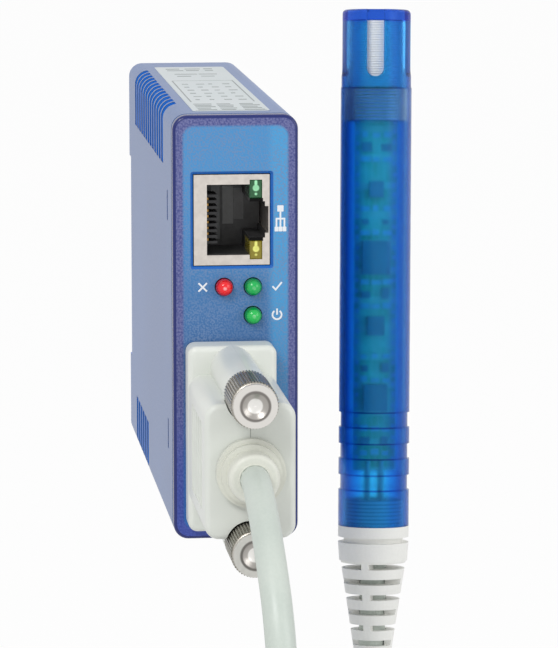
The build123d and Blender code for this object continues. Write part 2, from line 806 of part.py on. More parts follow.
def plug_hood(kept):
    """One half of the hood."""
    with BuildPart() as hood:
        with BuildSketch(facing_front(hood_rear_y, plug_x, plug_z)):
            RectangleRounded(hood_flange_width, hood_flange_height, hood_flange_corner)
        extrude(amount=hood_flange_depth)
        fillet(hood.faces().sort_by(Axis.Y)[0].edges(), hood_flange_round)
        with BuildSketch(facing_front(hood_rear_y, plug_x, plug_z)):
            RectangleRounded(hood_block_width, hood_block_height, hood_block_corner)
        extrude(amount=hood_length)
        fillet(hood.faces().sort_by(Axis.Y)[0].edges(), hood_front_round)
        with BuildSketch(facing_front(hood_rear_y, plug_x, plug_z)):
            with GridLocations(1, screw_spacing, 1, 2):
                Circle(hood_tube_diameter / 2)
        extrude(amount=hood_tube_length)
        # Room in front of the tubes for the knurled heads
        with BuildSketch(facing_front(hood_tube_end_y, plug_x, plug_z)):
            with GridLocations(1, screw_spacing, 1, 2):
                Circle(hood_tube_diameter / 2 + hood_fit)
        extrude(amount=hood_length, mode=Mode.SUBTRACT)
        # Pocket for the connector, hollow for the wires and bores for the screws and the bush
        with BuildSketch(facing_front(hood_rear_y, plug_x, plug_z)):
            Rectangle(connector_flange_width + 2 * hood_fit, connector_flange_height + 2 * hood_fit)
        extrude(amount=hood_rear_y - pocket_front_y, mode=Mode.SUBTRACT)
        with BuildSketch(facing_front(hood_rear_y, plug_x, plug_z)):
            RectangleRounded(
                hood_block_width - 2 * hood_wall,
                hood_block_height - 2 * hood_wall,
                hood_block_corner - hood_wall / 2,
            )
        extrude(amount=hood_length - hood_wall, mode=Mode.SUBTRACT)
        with BuildSketch(facing_front(hood_rear_y, plug_x, plug_z)):
            Circle(gland_neck_diameter / 2 + gland_fit)
            with GridLocations(1, screw_spacing, 1, 2):
                Circle(screw_bore / 2)
        extrude(amount=hood_length + overrun, mode=Mode.SUBTRACT)
        # Sunk finger grips with ridges on both sides
        grip_y = hood_rear_y - hood_flange_depth - (hood_length - hood_flange_depth) / 2
        ridge_step = grip_length / (grip_ridge_count + 1)
        for side in (-1, 1):
            grip_face_x = plug_x + side * hood_block_width / 2
            with BuildSketch(Plane.YZ.offset(grip_face_x - side * grip_depth)):
                with Locations((grip_y, plug_z)):
                    Rectangle(grip_length, grip_height)
                    with GridLocations(ridge_step, 1, grip_ridge_count, 1):
                        Rectangle(grip_ridge, grip_height, mode=Mode.SUBTRACT)
            extrude(amount=side * (grip_depth + overrun), mode=Mode.SUBTRACT)
        split(bisect_by=Plane.YZ.offset(plug_x), keep=kept)
    return hood


finish(plug_hood(Keep.BOTTOM), "plug_hood_left")
finish(plug_hood(Keep.TOP), "plug_hood_right")


# Thumbscrews: knurled head, dished nose and a shaft that reaches into the standoff
def thumbscrew(side):
    """One screw of the plug, above or below the cable."""
    screw_z = plug_z + side * screw_spacing / 2
    knurl_rear_y = hood_tube_end_y - screw_gap
    nose_y = knurl_rear_y - knurl_length
    tip_y = panel_rear_y - screw_tip_gap
    dimple_radius = screw_dimple_diameter / 2
    dish_radius = (dimple_radius**2 + screw_dimple_depth**2) / (2 * screw_dimple_depth)
    with BuildPart() as screw:
        with BuildSketch(facing_front(knurl_rear_y, plug_x, screw_z)):
            Circle(knurl_diameter / 2)
            with PolarLocations(knurl_diameter / 2, knurl_count):
                RegularPolygon(knurl_flute, 3, rotation=180, mode=Mode.SUBTRACT)
        extrude(amount=knurl_length)
        nose_plane = Plane(origin=(plug_x, nose_y, screw_z), x_dir=(1, 0, 0), z_dir=(0, 0, -1))
        with BuildSketch(nose_plane):
            with BuildLine():
                Polyline(
                    (0, screw_nose_length - screw_dimple_depth),
                    (0, 0),
                    (knurl_diameter / 2 - 2 * knurl_flute, 0),
                    (screw_nose_diameter / 2, screw_nose_length / 2),
                    (screw_nose_diameter / 2, screw_nose_length),
                    (dimple_radius, screw_nose_length),
                )
                RadiusArc(
                    (dimple_radius, screw_nose_length),
                    (0, screw_nose_length - screw_dimple_depth),
                    dish_radius,
                )
            make_face()
        revolve(axis=Axis((plug_x, nose_y, screw_z), (0, -1, 0)))
        with BuildSketch(facing_front(tip_y, plug_x, screw_z)):
            Circle(screw_shaft / 2)
        extrude(amount=tip_y - knurl_rear_y)
    return screw


finish(thumbscrew(1), "upper_thumbscrew")
finish(thumbscrew(-1), "lower_thumbscrew")

# Cable bush: collar behind the hood's wall, stepped rings and a rounded boss in front
collar_rear = -hood_wall - gland_fit - gland_collar_length
gland_step_end = gland_ring_length + gland_step_length
gland_end = gland_step_end + gland_boss_length
cable_bore = cable_diameter / 2 + cable_fit
gland_axis = Axis((plug_x, hood_front_y, plug_z), (0, -1, 0))

with BuildPart() as plug_cable_gland:
    with BuildSketch(Plane(origin=gland_axis.position, x_dir=(1, 0, 0), z_dir=(0, 0, -1))):
        with BuildLine():
            Polyline(
                (gland_boss_diameter / 2 - gland_boss_round, gland_end),
                (cable_bore, gland_end),
                (cable_bore, collar_rear),
                (gland_collar_diameter / 2, collar_rear),
                (gland_collar_diameter / 2, -hood_wall - gland_fit),
                (gland_neck_diameter / 2, -hood_wall - gland_fit),
                (gland_neck_diameter / 2, gland_fit),
                (gland_ring_diameter / 2, gland_fit),
                (gland_ring_diameter / 2, gland_ring_length),
                (gland_step_diameter / 2, gland_ring_length),
                (gland_step_diameter / 2, gland_step_end),
                (gland_boss_diameter / 2, gland_step_end),
                (gland_boss_diameter / 2, gland_end - gland_boss_round),
            )
            RadiusArc(
                (gland_boss_diameter / 2, gland_end - gland_boss_round),
                (gland_boss_diameter / 2 - gland_boss_round, gland_end),
                -gland_boss_round,
            )
        make_face()
    revolve(axis=gland_axis)
finish(plug_cable_gland, "plug_cable_gland")

# Probe frame: its top leans a little away from the viewer, as it stands in the photograph
probe_axis = Vector(
    sin(radians(probe_side_lean)),
    sin(radians(probe_lean)),
    cos(radians(probe_lean)),
).normalized()
probe_base = Vector(probe_x, probe_y, probe_z)
probe_across = (Vector(1, 0, 0) - probe_axis * probe_axis.X).normalized()
probe_level = Plane(origin=probe_base, x_dir=probe_across, z_dir=probe_axis)
probe_turn_axis = Axis(probe_base, probe_axis)


def probe_side(turn):
    """A plane through the probe's axis, turned about it, with local y up the axis."""
    across = probe_across.rotate(probe_turn_axis, turn)
    return Plane(origin=probe_base, x_dir=across, z_dir=across.cross(probe_axis))


probe_section = probe_side(0)

# Cable: route of the stretch to the coil and of the stretch up to the probe
coil_inner_radius = coil_outer_radius - turn_pitch * coil_turns_deep
coil_entry_turn = 236.0
coil_exit_turn = 0.0
boot_collar_start = boot_ring_length + boot_neck_length
boot_end = boot_collar_start + boot_collar_length + boot_cone_length
drop_route = [
    (plug_x, hood_front_y - gland_ring_length, plug_z),
    (plug_x, -148.0, plug_z),
    (-0.9, -164.0, -25.6),
    (-0.3, -174.0, -37.0),
    (0.4, -174.3, -54.0),
    (1.6, -169.0, -78.0),
    (3.6, -153.0, -102.0),
    (6.2, -125.5, -123.7),
    (
        coil_x - turn_pitch * (coil_turns_across - 1) / 2,
        coil_y + coil_outer_radius * cos(radians(coil_entry_turn)),
        coil_z + coil_outer_radius * sin(radians(coil_entry_turn)),
    ),
]
rise_route = [
    (
        coil_x + turn_pitch * (coil_turns_across - 1) / 2,
        coil_y + coil_outer_radius * cos(radians(coil_exit_turn)),
        coil_z + coil_outer_radius * sin(radians(coil_exit_turn)),
    ),
    tuple(probe_base - probe_axis * (boot_end + boot_lead)),
    tuple(probe_base - probe_axis * cable_stop),
]


def bend_radii(route):
    """Largest even arc at each corner: a share of the shorter run over the half turn's tangent."""
    points = [Vector(*point) for point in route]
    radii = []
    for before, corner, after in zip(points, points[1:], points[2:]):
        half_turn = radians((corner - before).get_angle(after - corner)) / 2
        shorter = min((corner - before).length, (after - corner).length)
        radii.append(bend_share * shorter / tan(half_turn))
    return radii


def cable_tube(route):
    """Round tube along a route of straight runs and tangent arcs."""
    radii = bend_radii(route)
    print("cable bend radii", [round(radius, 1) for radius in radii])
    start = Vector(*route[0])
    with BuildPart() as tube:
        with BuildLine() as path:
            FilletPolyline(*route, radius=radii)
        with BuildSketch(Plane(origin=start, z_dir=Vector(*route[1]) - start)):
            Circle(cable_diameter / 2)
        sweep()
    length = path.wire().length
    expected = pi * cable_diameter**2 / 4 * length
    print("cable length", round(length, 1), "volume ratio", round(tube.part.volume / expected, 4))
    return tube


finish(cable_tube(drop_route), "cable_drop")
finish(cable_tube(rise_route), "cable_rise")

# Coil of the put-away length, tied at its top
coil_half_width = turn_pitch * coil_turns_across / 2
coil_hole_radius = coil_inner_radius - turn_pitch / 2
coil_rim_radius = coil_outer_radius + turn_pitch / 2
coil_axis = Axis((coil_x, coil_y, coil_z), (1, 0, 0))

with BuildPart() as cable_coil:
    with BuildSketch(facing_front(coil_y, coil_x, coil_z)) as coil_section:
        with Locations((0, (coil_hole_radius + coil_rim_radius) / 2)):
            Rectangle(2 * coil_half_width, coil_rim_radius - coil_hole_radius)
        chamfer(coil_section.vertices(), coil_corner)
    revolve(axis=coil_axis)
finish(cable_coil, "cable_coil")

with BuildPart() as coil_tie:
    tie_low = coil_hole_radius - tie_fit - tie_thickness
    tie_high = coil_rim_radius + tie_fit + tie_thickness
    tie_half = coil_half_width + tie_fit + tie_thickness
    with BuildSketch(facing_front(coil_y + tie_width / 2, coil_x, coil_z)):
        with Locations((0, (tie_low + tie_high) / 2)):
            RectangleRounded(2 * tie_half, tie_high - tie_low, coil_corner)
            Rectangle(
                2 * (tie_half - tie_thickness),
                tie_high - tie_low - 2 * tie_thickness,
                mode=Mode.SUBTRACT,
            )
    extrude(amount=tie_width)
finish(coil_tie, "coil_tie")

# Probe tube with three shallow rings of grooves near its lower end
tube_radius = probe_diameter / 2
tube_bore = tube_radius - probe_wall

with BuildPart() as probe_tube:
    with BuildSketch(probe_level):
        Circle(tube_radius)
        Circle(tube_bore, mode=Mode.SUBTRACT)
    extrude(amount=probe_tube_length)
    for groove in range(probe_groove_count):
        with BuildSketch(probe_level.offset(probe_groove_first + groove * probe_groove_pitch)):
            Circle(tube_radius + overrun)
            Circle(tube_radius - probe_groove_depth, mode=Mode.SUBTRACT)
        extrude(amount=probe_groove_width, mode=Mode.SUBTRACT)
finish(probe_tube, "probe_tube")

# Probe cap: slotted crown with a solid top, and a spigot that fits the tube
cap_radius = tube_radius - cap_step
cap_bore = cap_radius - cap_wall
cap_end = probe_tube_length + cap_length
spigot_radius = tube_bore - spigot_fit
spigot_start = probe_tube_length - spigot_length
slot_low = probe_tube_length + cap_slot_lower_end + cap_slot_width / 2
slot_high = cap_end + overrun
slot_floor = (cap_bore**2 - (cap_slot_width / 2) ** 2) ** 0.5 - filter_fit

with BuildPart() as probe_cap:
    with BuildSketch(probe_level.offset(probe_tube_length)):
        Circle(cap_radius)
    extrude(amount=cap_length)
    fillet(probe_cap.faces().sort_by(probe_turn_axis)[-1].edges(), cap_edge_round)
    with BuildSketch(probe_level.offset(spigot_start)):
        Circle(spigot_radius)
    extrude(amount=spigot_length)
    with BuildSketch(probe_level.offset(spigot_start)):
        Circle(spigot_radius - spigot_wall)
    extrude(amount=spigot_length, mode=Mode.SUBTRACT)
    with BuildSketch(probe_level.offset(probe_tube_length)):
        Circle(cap_bore)
    extrude(amount=cap_length - cap_top, mode=Mode.SUBTRACT)
    # Slots through the wall, round below and open above
    for slot in range(cap_slot_count):
        slot_turn = cap_slot_turn + slot * 360 / cap_slot_count
        with BuildSketch(probe_side(slot_turn).offset(slot_floor)):
            with Locations((0, (slot_low + slot_high) / 2)):
                Rectangle(cap_slot_width, slot_high - slot_low)
            with Locations((0, slot_low)):
                Circle(cap_slot_width / 2)
        extrude(amount=tube_radius - slot_floor, mode=Mode.SUBTRACT)
finish(probe_cap, "probe_cap")

filter_radius = cap_bore - filter_fit
filter_length = cap_length - cap_top - 2 * filter_fit

with BuildPart() as probe_filter:
    with BuildSketch(probe_level.offset(probe_tube_length + filter_fit)):
        Circle(filter_radius)
        Circle(filter_radius - filter_wall, mode=Mode.SUBTRACT)
    extrude(amount=filter_length)
finish(probe_filter, "probe_filter")

# Probe board, facing the front, with its chips, the measuring chip and the wires
probe_board_end = cap_end - cap_top - probe_board_top_gap
probe_board_length = probe_board_end - probe_board_start

with BuildPart() as probe_board:
    with BuildSketch(probe_level.offset(probe_board_start)):
        Rectangle(probe_board_width, probe_board_thickness)
    extrude(amount=probe_board_length)
finish(probe_board, "probe_board")

board_front = probe_section.offset(probe_board_thickness / 2)

with BuildPart() as probe_board_chips:
    with BuildSketch(board_front):
        for height, width, length in probe_chips:
            with Locations((0, probe_board_start + height)):
                Rectangle(width, length)
    extrude(amount=probe_chip_height)
finish(probe_board_chips, "probe_board_chips")

with BuildPart() as sensor_element:
    with BuildSketch(board_front):
        with Locations((0, probe_board_end - sensor_side)):
            Rectangle(sensor_side, sensor_side)
            Circle(sensor_side / 4, mode=Mode.SUBTRACT)
    extrude(amount=sensor_height)
finish(sensor_element, "sensor_element")

wire_offset = probe_board_thickness / 2 + wire_diameter / 2

with BuildPart() as probe_wires:
    with BuildSketch(probe_level.offset(-cable_stop)):
        with GridLocations(wire_spread, 2 * wire_offset, 2, 2):
            Circle(wire_diameter / 2)
    extrude(amount=cable_stop + probe_board_start + wire_lap)
finish(probe_wires, "probe_wires")

# Bend relief: spigot, ring, neck and collar, then a cone cut by slots that alternate
boot_bore = cable_diameter / 2 + boot_cable_fit
boot_neck_top = -boot_ring_length
boot_collar_top = -boot_collar_start
boot_cone_top = boot_collar_top - boot_collar_length

with BuildPart() as probe_boot:
    with BuildSketch(probe_section):
        with BuildLine():
            Polyline(
                (boot_bore, boot_spigot_length),
                (tube_bore - boot_spigot_fit, boot_spigot_length),
                (tube_bore - boot_spigot_fit, 0),
                (tube_radius, 0),
                (tube_radius, boot_neck_top),
                (boot_neck_diameter / 2, boot_neck_top),
                (boot_neck_diameter / 2, boot_collar_top),
                (tube_radius, boot_collar_top),
                (boot_collar_end_diameter / 2, boot_cone_top),
                (boot_cone_top_diameter / 2, boot_cone_top),
                (boot_cone_end_diameter / 2, -boot_end),
                (boot_bore, -boot_end),
                close=True,
            )
        make_face()
    revolve(axis=probe_turn_axis)
    for slot in range(boot_slot_count):
        slot_top = boot_cone_top - boot_slot_first - slot * boot_slot_step
        turn = boot_turn + 90 * (slot % 2)
        with BuildSketch(probe_level.offset(slot_top - boot_slot_height)):
            Circle(tube_radius + overrun)
            Rectangle(boot_web, 4 * tube_radius, rotation=turn, mode=Mode.SUBTRACT)
        extrude(amount=boot_slot_height, mode=Mode.SUBTRACT)
finish(probe_boot, "probe_boot")
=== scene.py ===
import math

import bmesh
import bpy
from mathutils import Matrix, Vector


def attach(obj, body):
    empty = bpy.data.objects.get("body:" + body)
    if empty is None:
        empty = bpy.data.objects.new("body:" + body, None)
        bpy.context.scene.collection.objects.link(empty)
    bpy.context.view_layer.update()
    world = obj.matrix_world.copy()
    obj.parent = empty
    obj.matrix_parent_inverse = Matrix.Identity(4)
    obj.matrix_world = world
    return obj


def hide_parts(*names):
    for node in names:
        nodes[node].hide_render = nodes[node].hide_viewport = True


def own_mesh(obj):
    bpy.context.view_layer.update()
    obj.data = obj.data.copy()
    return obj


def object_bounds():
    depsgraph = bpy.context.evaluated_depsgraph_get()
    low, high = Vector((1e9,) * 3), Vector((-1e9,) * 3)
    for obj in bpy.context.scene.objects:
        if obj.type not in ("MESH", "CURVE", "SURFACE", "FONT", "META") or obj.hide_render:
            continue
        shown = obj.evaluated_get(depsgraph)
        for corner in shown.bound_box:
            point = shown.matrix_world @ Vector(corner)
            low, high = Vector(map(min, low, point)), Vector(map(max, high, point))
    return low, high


# Looks of the ethernet thermo-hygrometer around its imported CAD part. Metres, +Z up, the front faces -Y.

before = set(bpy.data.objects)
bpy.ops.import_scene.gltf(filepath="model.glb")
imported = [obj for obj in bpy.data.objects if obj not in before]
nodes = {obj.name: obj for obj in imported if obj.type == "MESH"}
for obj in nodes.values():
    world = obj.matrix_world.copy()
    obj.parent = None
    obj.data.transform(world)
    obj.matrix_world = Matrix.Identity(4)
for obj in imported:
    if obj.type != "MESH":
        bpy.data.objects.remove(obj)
cad_low, cad_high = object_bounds()
scene = bpy.context.scene
scene.view_settings.view_transform = "Standard"
MM = 0.001

# Camera at the photograph's viewing angle
CAMERA_PLACE = Vector((-0.066635, -0.769881, 0.105852))
CAMERA_AIM = Vector((0.007601, -0.100, 0.000639))
CAMERA_LENS = 216.2
CAMERA_SENSOR = 36.0

# Sizes that the pieces below share with the CAD part, in millimetres
FRONT_Y = -100.0
HALF_WIDTH = 11.0
HALF_HEIGHT = 37.5
PLUG_X = -1.15
PLUG_Z = -18.6
HOOD_FRONT_Y = -136.0
GLAND_RING = 1.4
GLAND_END = 7.0
JACK_X = -0.65
JACK_Z = 19.1
JACK_HALF_WIDTH = 6.65
JACK_HALF_HEIGHT = 7.95
LAMP_COLUMN_X = 3.0
LAMP_ROW_Z = 7.35
LAMP_STEP = 5.05
ERROR_X = LAMP_COLUMN_X - LAMP_STEP
POWER_Z = LAMP_ROW_Z - LAMP_STEP
JACK_LIGHT_X = JACK_X + 4.25
JACK_LIGHT_RISE = 5.35
SCREW_SPACING = 25.0
HOUSING_CORNER = 2.6
PROBE_BASE = Vector((31.7, -46.4, -47.0))
PROBE_LEAN = 6.3
PROBE_SIDE_LEAN = 1.02
PROBE_TUBE_LENGTH = 83.5
CAP_LENGTH = 14.8
CAP_TOP = 2.0
SPIGOT_DEPTH = 6.5
GROOVE_COUNT = 3
GROOVE_FIRST = 6.95
GROOVE_WIDTH = 2.9
GROOVE_PITCH = 5.98
FILTER_RADIUS = 4.88

# Fields of colour on the housing, its front, the jack and the lamps, many of them painted light and shade,
# in millimetres
HOUSING_SKIN = 0.12
PANEL_ROUND = 0.55
PANEL_FLAT_CORNER = 2.2
PANEL_FIELD = (9.2, 35.6)
PANEL_FIELD_CORNER = 1.9
WINDOW_EDGE = 0.6
WINDOW_CORNER = 0.4
SHIELD_DIP_SHADE = (1.3, 0.42)
SHIELD_DIP_X = JACK_X + 4.2
SHIELD_DIP_RISE = 3.38
STEP_CORNER = 0.1
LAMP_LIT_MIDDLE = 1.2
LAMP_CUP_GLINT = 0.32

# Cable, in millimetres: its coil, with the share of a layer in which it crosses to the next, and its ends
CABLE_DIAMETER = 5.0
COIL_X = 18.6
COIL_Y = -86.0
COIL_Z = -110.0
COIL_RADIUS = 35.0
TURN_PITCH = 5.2
COIL_LAYERS = 4
TURNS_DEEP = 2.3
CROSSING = 0.2
COIL_ENTRY = 236.0
COIL_EXIT = 360.0
POINTS_PER_TURN = 16
BOOT_END = 26.65
BOOT_LEAD = 12.0
CABLE_STOP = 5.0

probe_axis = Vector(
    (
        math.sin(math.radians(PROBE_SIDE_LEAN)),
        math.sin(math.radians(PROBE_LEAN)),
        math.cos(math.radians(PROBE_LEAN)),
    )
).normalized()
probe_across = (Vector((1, 0, 0)) - probe_axis * probe_axis.x).normalized()
probe_front = probe_across.cross(probe_axis)


def tint(red, green, blue):
    """A colour written in display values from 0 to 255, as the shader wants it."""
    linear = []
    for level in (red, green, blue):
        share = level / 255
        linear.append(share / 12.92 if share <= 0.04045 else ((share + 0.055) / 1.055) ** 2.4)
    return (*linear, 1.0)


class Bench:
    """Short words for placing and joining the nodes of one tree."""

    def __init__(self, tree):
        self.tree = tree

    def feed(self, socket, value):
        if isinstance(value, bpy.types.NodeSocket):
            self.tree.links.new(value, socket)
        else:
            socket.default_value = value

    def node(self, kind, feeds=None, **settings):
        made = self.tree.nodes.new(kind)
        for key, value in settings.items():
            setattr(made, key, value)
        for label, value in (feeds or {}).items():
            self.feed(made.inputs[label], value)
        return made

    def math(self, operation, *values):
        return self.node("ShaderNodeMath", dict(enumerate(values)), operation=operation).outputs[0]

    def mix(self, share, first, second):
        return self.node("ShaderNodeMix", {0: share, 6: first, 7: second}, data_type="RGBA").outputs[2]

    def ramp(self, value, low, high, to_low=0.0, to_high=1.0):
        feeds = {0: value, 1: low, 2: high, 3: to_low, 4: to_high}
        return self.node("ShaderNodeMapRange", feeds, interpolation_type="SMOOTHSTEP").outputs[0]

    def use(self, group, **values):
        feeds = {label.replace("_", " ").capitalize(): value for label, value in values.items()}
        return self.node("ShaderNodeGroup", feeds, node_tree=group).outputs

    def place(self):
        where = self.node("ShaderNodeTexCoord").outputs["Object"]
        return where, self.node("ShaderNodeSeparateXYZ", {0: where}).outputs


def shader_group(name, inputs, outputs):
    """An empty shader group with named values in and out."""
    tree = bpy.data.node_groups.new(name, "ShaderNodeTree")
    for label, value in inputs.items():
        socket = tree.interface.new_socket(name=label, in_out="INPUT", socket_type="NodeSocketFloat")
        socket.default_value = value
    for label in outputs:
        tree.interface.new_socket(name=label, in_out="OUTPUT", socket_type="NodeSocketFloat")
    bench = Bench(tree)
    return tree, bench, bench.node("NodeGroupInput").outputs, bench.node("NodeGroupOutput").inputs


def make_mould_grain():
    """Fine moulded grain over a broad unevenness, for plastics and rubber."""
    sizes = {"Grain size": 0.0003, "Cloud size": 0.012}
    tree, bench, given, result = shader_group("mould_grain", sizes, ["Grain", "Cloud"])
    where, _ = bench.place()
    for output, size in (("Grain", "Grain size"), ("Cloud", "Cloud size")):
        scale = bench.math("DIVIDE", 1.0, given[size])
        noise = bench.node("ShaderNodeTexNoise", {"Vector": where, "Scale": scale, "Detail": 3.0})
        bench.feed(result[output], bench.ramp(noise.outputs[0], 0.28, 0.72))
    return tree


def make_rounded_field():
    """Mask of a rounded rectangle that faces the front or lies flat, from two coordinates."""
    sizes = {
        "Across": 0.0,
        "Up": 0.0,
        "Centre across": 0.0,
        "Centre up": 0.0,
        "Half across": 0.01,
        "Half up": 0.01,
        "Corner": 0.001,
        "Softness": 0.0001,
    }
    tree, bench, given, result = shader_group("rounded_field", sizes, ["Mask"])
    reach = []
    for along in ("across", "up"):
        moved = bench.math("SUBTRACT", given[along.capitalize()], given[f"Centre {along}"])
        straight = bench.math("SUBTRACT", given[f"Half {along}"], given["Corner"])
        reach.append(bench.math("SUBTRACT", bench.math("ABSOLUTE", moved), straight))
    outside = [bench.math("MAXIMUM", share, 0.0) for share in reach]
    squares = bench.math("ADD", *[bench.math("MULTIPLY", share, share) for share in outside])
    inside = bench.math("MINIMUM", bench.math("MAXIMUM", *reach), 0.0)
    distance = bench.math("ADD", bench.math("SQRT", squares), inside)
    distance = bench.math("SUBTRACT", distance, given["Corner"])
    low = bench.math("MULTIPLY", given["Softness"], -1.0)
    bench.feed(result["Mask"], bench.ramp(distance, low, given["Softness"], 1.0, 0.0))
    return tree


def make_drawn_streaks():
    """Fine streaks along the depth, as drawn or turned metal has."""
    sizes = {"Streak size": 0.0004, "Stretch": 0.06}
    tree, bench, given, result = shader_group("drawn_streaks", sizes, ["Streak"])
    where, _ = bench.place()
    stretch = bench.node("ShaderNodeCombineXYZ", {0: 1.0, 1: given["Stretch"], 2: 1.0}).outputs[0]
    drawn = bench.node("ShaderNodeVectorMath", {0: where, 1: stretch}, operation="MULTIPLY").outputs[0]
    scale = bench.math("DIVIDE", 1.0, given["Streak size"])
    noise = bench.node("ShaderNodeTexNoise", {"Vector": drawn, "Scale": scale, "Detail": 4.0})
    bench.feed(result["Streak"], bench.ramp(noise.outputs[0], 0.25, 0.75))
    return tree


mould_grain = make_mould_grain()
rounded_field = make_rounded_field()
drawn_streaks = make_drawn_streaks()


def rounded_mask(bench, place, half, corner, softness, centre=(0.0, 0.0)):
    """Mask of a rounded rectangle seen from the front, with its sizes in millimetres."""
    across, _, up = place
    return bench.use(
        rounded_field, across=across, up=up, centre_across=centre[0] * MM, centre_up=centre[1] * MM,
        half_across=half[0] * MM, half_up=half[1] * MM, corner=corner * MM, softness=softness * MM,
    )[0]


def disc_mask(bench, place, radius, softness, centre):
    """Mask of a disc seen from the front, with its sizes in millimetres."""
    return rounded_mask(bench, place, (radius, radius), radius, softness, centre)


def cleared(owner):
    """The bench of a material or a world, with its first nodes cleared away."""
    owner.use_nodes = True
    owner.node_tree.nodes.clear()
    return Bench(owner.node_tree)


def new_material(name):
    """A material with a bare Principled shader, and the bench to dress it."""
    material = bpy.data.materials.new(name)
    bench = cleared(material)
    shader = bench.node("ShaderNodeBsdfPrincipled")
    bench.node("ShaderNodeOutputMaterial", {"Surface": shader.outputs[0]})
    return material, bench, shader


def dress(bench, shader, colour, wear, smooth, rough):
    """Give a shader its colour, and a roughness that follows a mask."""
    bench.feed(shader.inputs["Base Color"], colour)
    bench.feed(shader.inputs["Roughness"], bench.ramp(wear, 0.0, 1.0, smooth, rough))


def add_bump(bench, shader, height, depth):
    """Raise a surface by a mask, to a depth in metres."""
    bump = bench.node("ShaderNodeBump", {"Strength": 1.0, "Distance": depth, "Height": height})
    bench.feed(shader.inputs["Normal"], bump.outputs[0])


def moulded(name, light, dark, roughness, grain_size=0.0004, grain_depth=0.000004, contrast=0.5):
    """Moulded plastic or rubber: uneven colour, fine grain and a roughness that follows it."""
    material, bench, shader = new_material(name)
    grain, cloud = bench.use(mould_grain, grain_size=grain_size)
    fine = bench.math("MULTIPLY", grain, contrast)
    share = bench.math("ADD", fine, bench.math("MULTIPLY", cloud, 1 - contrast))
    dress(bench, shader, bench.mix(share, dark, light), cloud, roughness * 0.88, roughness * 1.12)
    add_bump(bench, shader, grain, grain_depth)
    return material


def plated(name, light, dark, roughness, streak_size=0.0004, streak_depth=0.000003):
    """Plated or drawn metal with fine streaks."""
    material, bench, shader = new_material(name)
    streak = bench.use(drawn_streaks, streak_size=streak_size)[0]
    _, cloud = bench.use(mould_grain, grain_size=streak_size)
    dress(bench, shader, bench.mix(streak, dark, light), cloud, roughness * 0.8, roughness * 1.2)
    add_bump(bench, shader, streak, streak_depth)
    shader.inputs["Metallic"].default_value = 1.0
    return material


def make_housing_blue():
    """Satin translucent shell: calm outer skin, and brighter walls where light comes through."""
    material, bench, shader = new_material("housing_blue")
    _, place = bench.place()
    grain, cloud = bench.use(mould_grain, grain_size=0.0005, cloud_size=0.05)
    half = (HALF_WIDTH - HOUSING_SKIN, HALF_HEIGHT - HOUSING_SKIN)
    within = rounded_mask(bench, place, half, HOUSING_CORNER - HOUSING_SKIN, 0.05)
    skin = bench.mix(cloud, tint(32, 84, 150), tint(38, 92, 160))
    dress(bench, shader, bench.mix(within, skin, tint(38, 118, 214)), grain, 0.34, 0.38)
    shader.inputs["Specular IOR Level"].default_value = 0.4
    shader.inputs["Coat Weight"].default_value = 0.18
    shader.inputs["Coat Roughness"].default_value = 0.3
    add_bump(bench, shader, grain, 0.000002)
    return material


def make_panel_blue():
    """Speckled blue front: navy rounded edge of painted shade, purple border, lighter field of painted
    light from the hollow behind, painted light towards the top and on the right side, and a bright edge of
    painted light at the jack's window.
    """
    material, bench, shader = new_material("panel_blue")
    _, place = bench.place()
    across, _, up = place
    grain, cloud = bench.use(mould_grain, grain_size=0.00034, cloud_size=0.006)
    half = (HALF_WIDTH - PANEL_ROUND, HALF_HEIGHT - PANEL_ROUND)
    flat = rounded_mask(bench, place, half, PANEL_FLAT_CORNER, 0.08)
    field = rounded_mask(bench, place, PANEL_FIELD, PANEL_FIELD_CORNER, 0.3)
    half = (JACK_HALF_WIDTH + WINDOW_EDGE, JACK_HALF_HEIGHT + WINDOW_EDGE)
    window = rounded_mask(bench, place, half, WINDOW_CORNER, 0.06, (JACK_X, JACK_Z))
    # Painted light: lighter towards the top, and a lighter strip along the right side
    upper = bench.ramp(up, -0.012, 0.030)
    body = bench.mix(upper, tint(50, 94, 150), tint(66, 140, 198))
    right_side_light = bench.ramp(across, 0.0052, 0.0070)
    strip = bench.math("MULTIPLY", right_side_light, bench.ramp(up, -0.02, 0.01, 0.35, 0.8))
    body = bench.mix(strip, body, tint(66, 158, 214))
    haze = bench.math("MULTIPLY", bench.ramp(grain, 0.2, 0.8), bench.ramp(cloud, 0.0, 1.0, 0.4, 0.75))
    body = bench.mix(haze, body, tint(106, 134, 176))
    low = bench.ramp(up, -0.032, -0.008, 1.0, 0.0)
    body = bench.mix(bench.math("MULTIPLY", low, 0.85), body, tint(20, 108, 186))
    border = bench.mix(grain, tint(54, 64, 128), tint(112, 116, 164))
    border = bench.mix(low, border, bench.mix(grain, tint(36, 58, 150), tint(70, 88, 172)))
    # Painted light: the field is lighter, lit from the hollow behind the thin front
    colour = bench.mix(field, border, body)
    # Painted shade: navy on the rounded edge round the flat front
    colour = bench.mix(flat, tint(2, 26, 104), colour)
    # Painted light: a bright blue edge round the jack's window
    colour = bench.mix(window, colour, tint(0, 96, 184))
    dress(bench, shader, colour, flat, 0.26, 0.46)
    add_bump(bench, shader, grain, 0.000012)
    return material


def make_shield_tin():
    """Tin plate of the jack's shield, with painted shade where it dips behind the lights."""
    material, bench, shader = new_material("shield_tin")
    _, place = bench.place()
    streak = bench.use(drawn_streaks, streak_size=0.0009)[0]
    plate = bench.mix(streak, tint(204, 197, 190), tint(216, 209, 202))
    # Painted shade: near black where the shield dips behind the lights
    for side in (-1, 1):
        centre = (SHIELD_DIP_X, JACK_Z + side * SHIELD_DIP_RISE)
        dip = rounded_mask(bench, place, SHIELD_DIP_SHADE, STEP_CORNER, 0.05, centre)
        plate = bench.mix(dip, plate, tint(26, 26, 26))
    dress(bench, shader, plate, streak, 0.42, 0.5)
    shader.inputs["Metallic"].default_value = 1.0
    return material


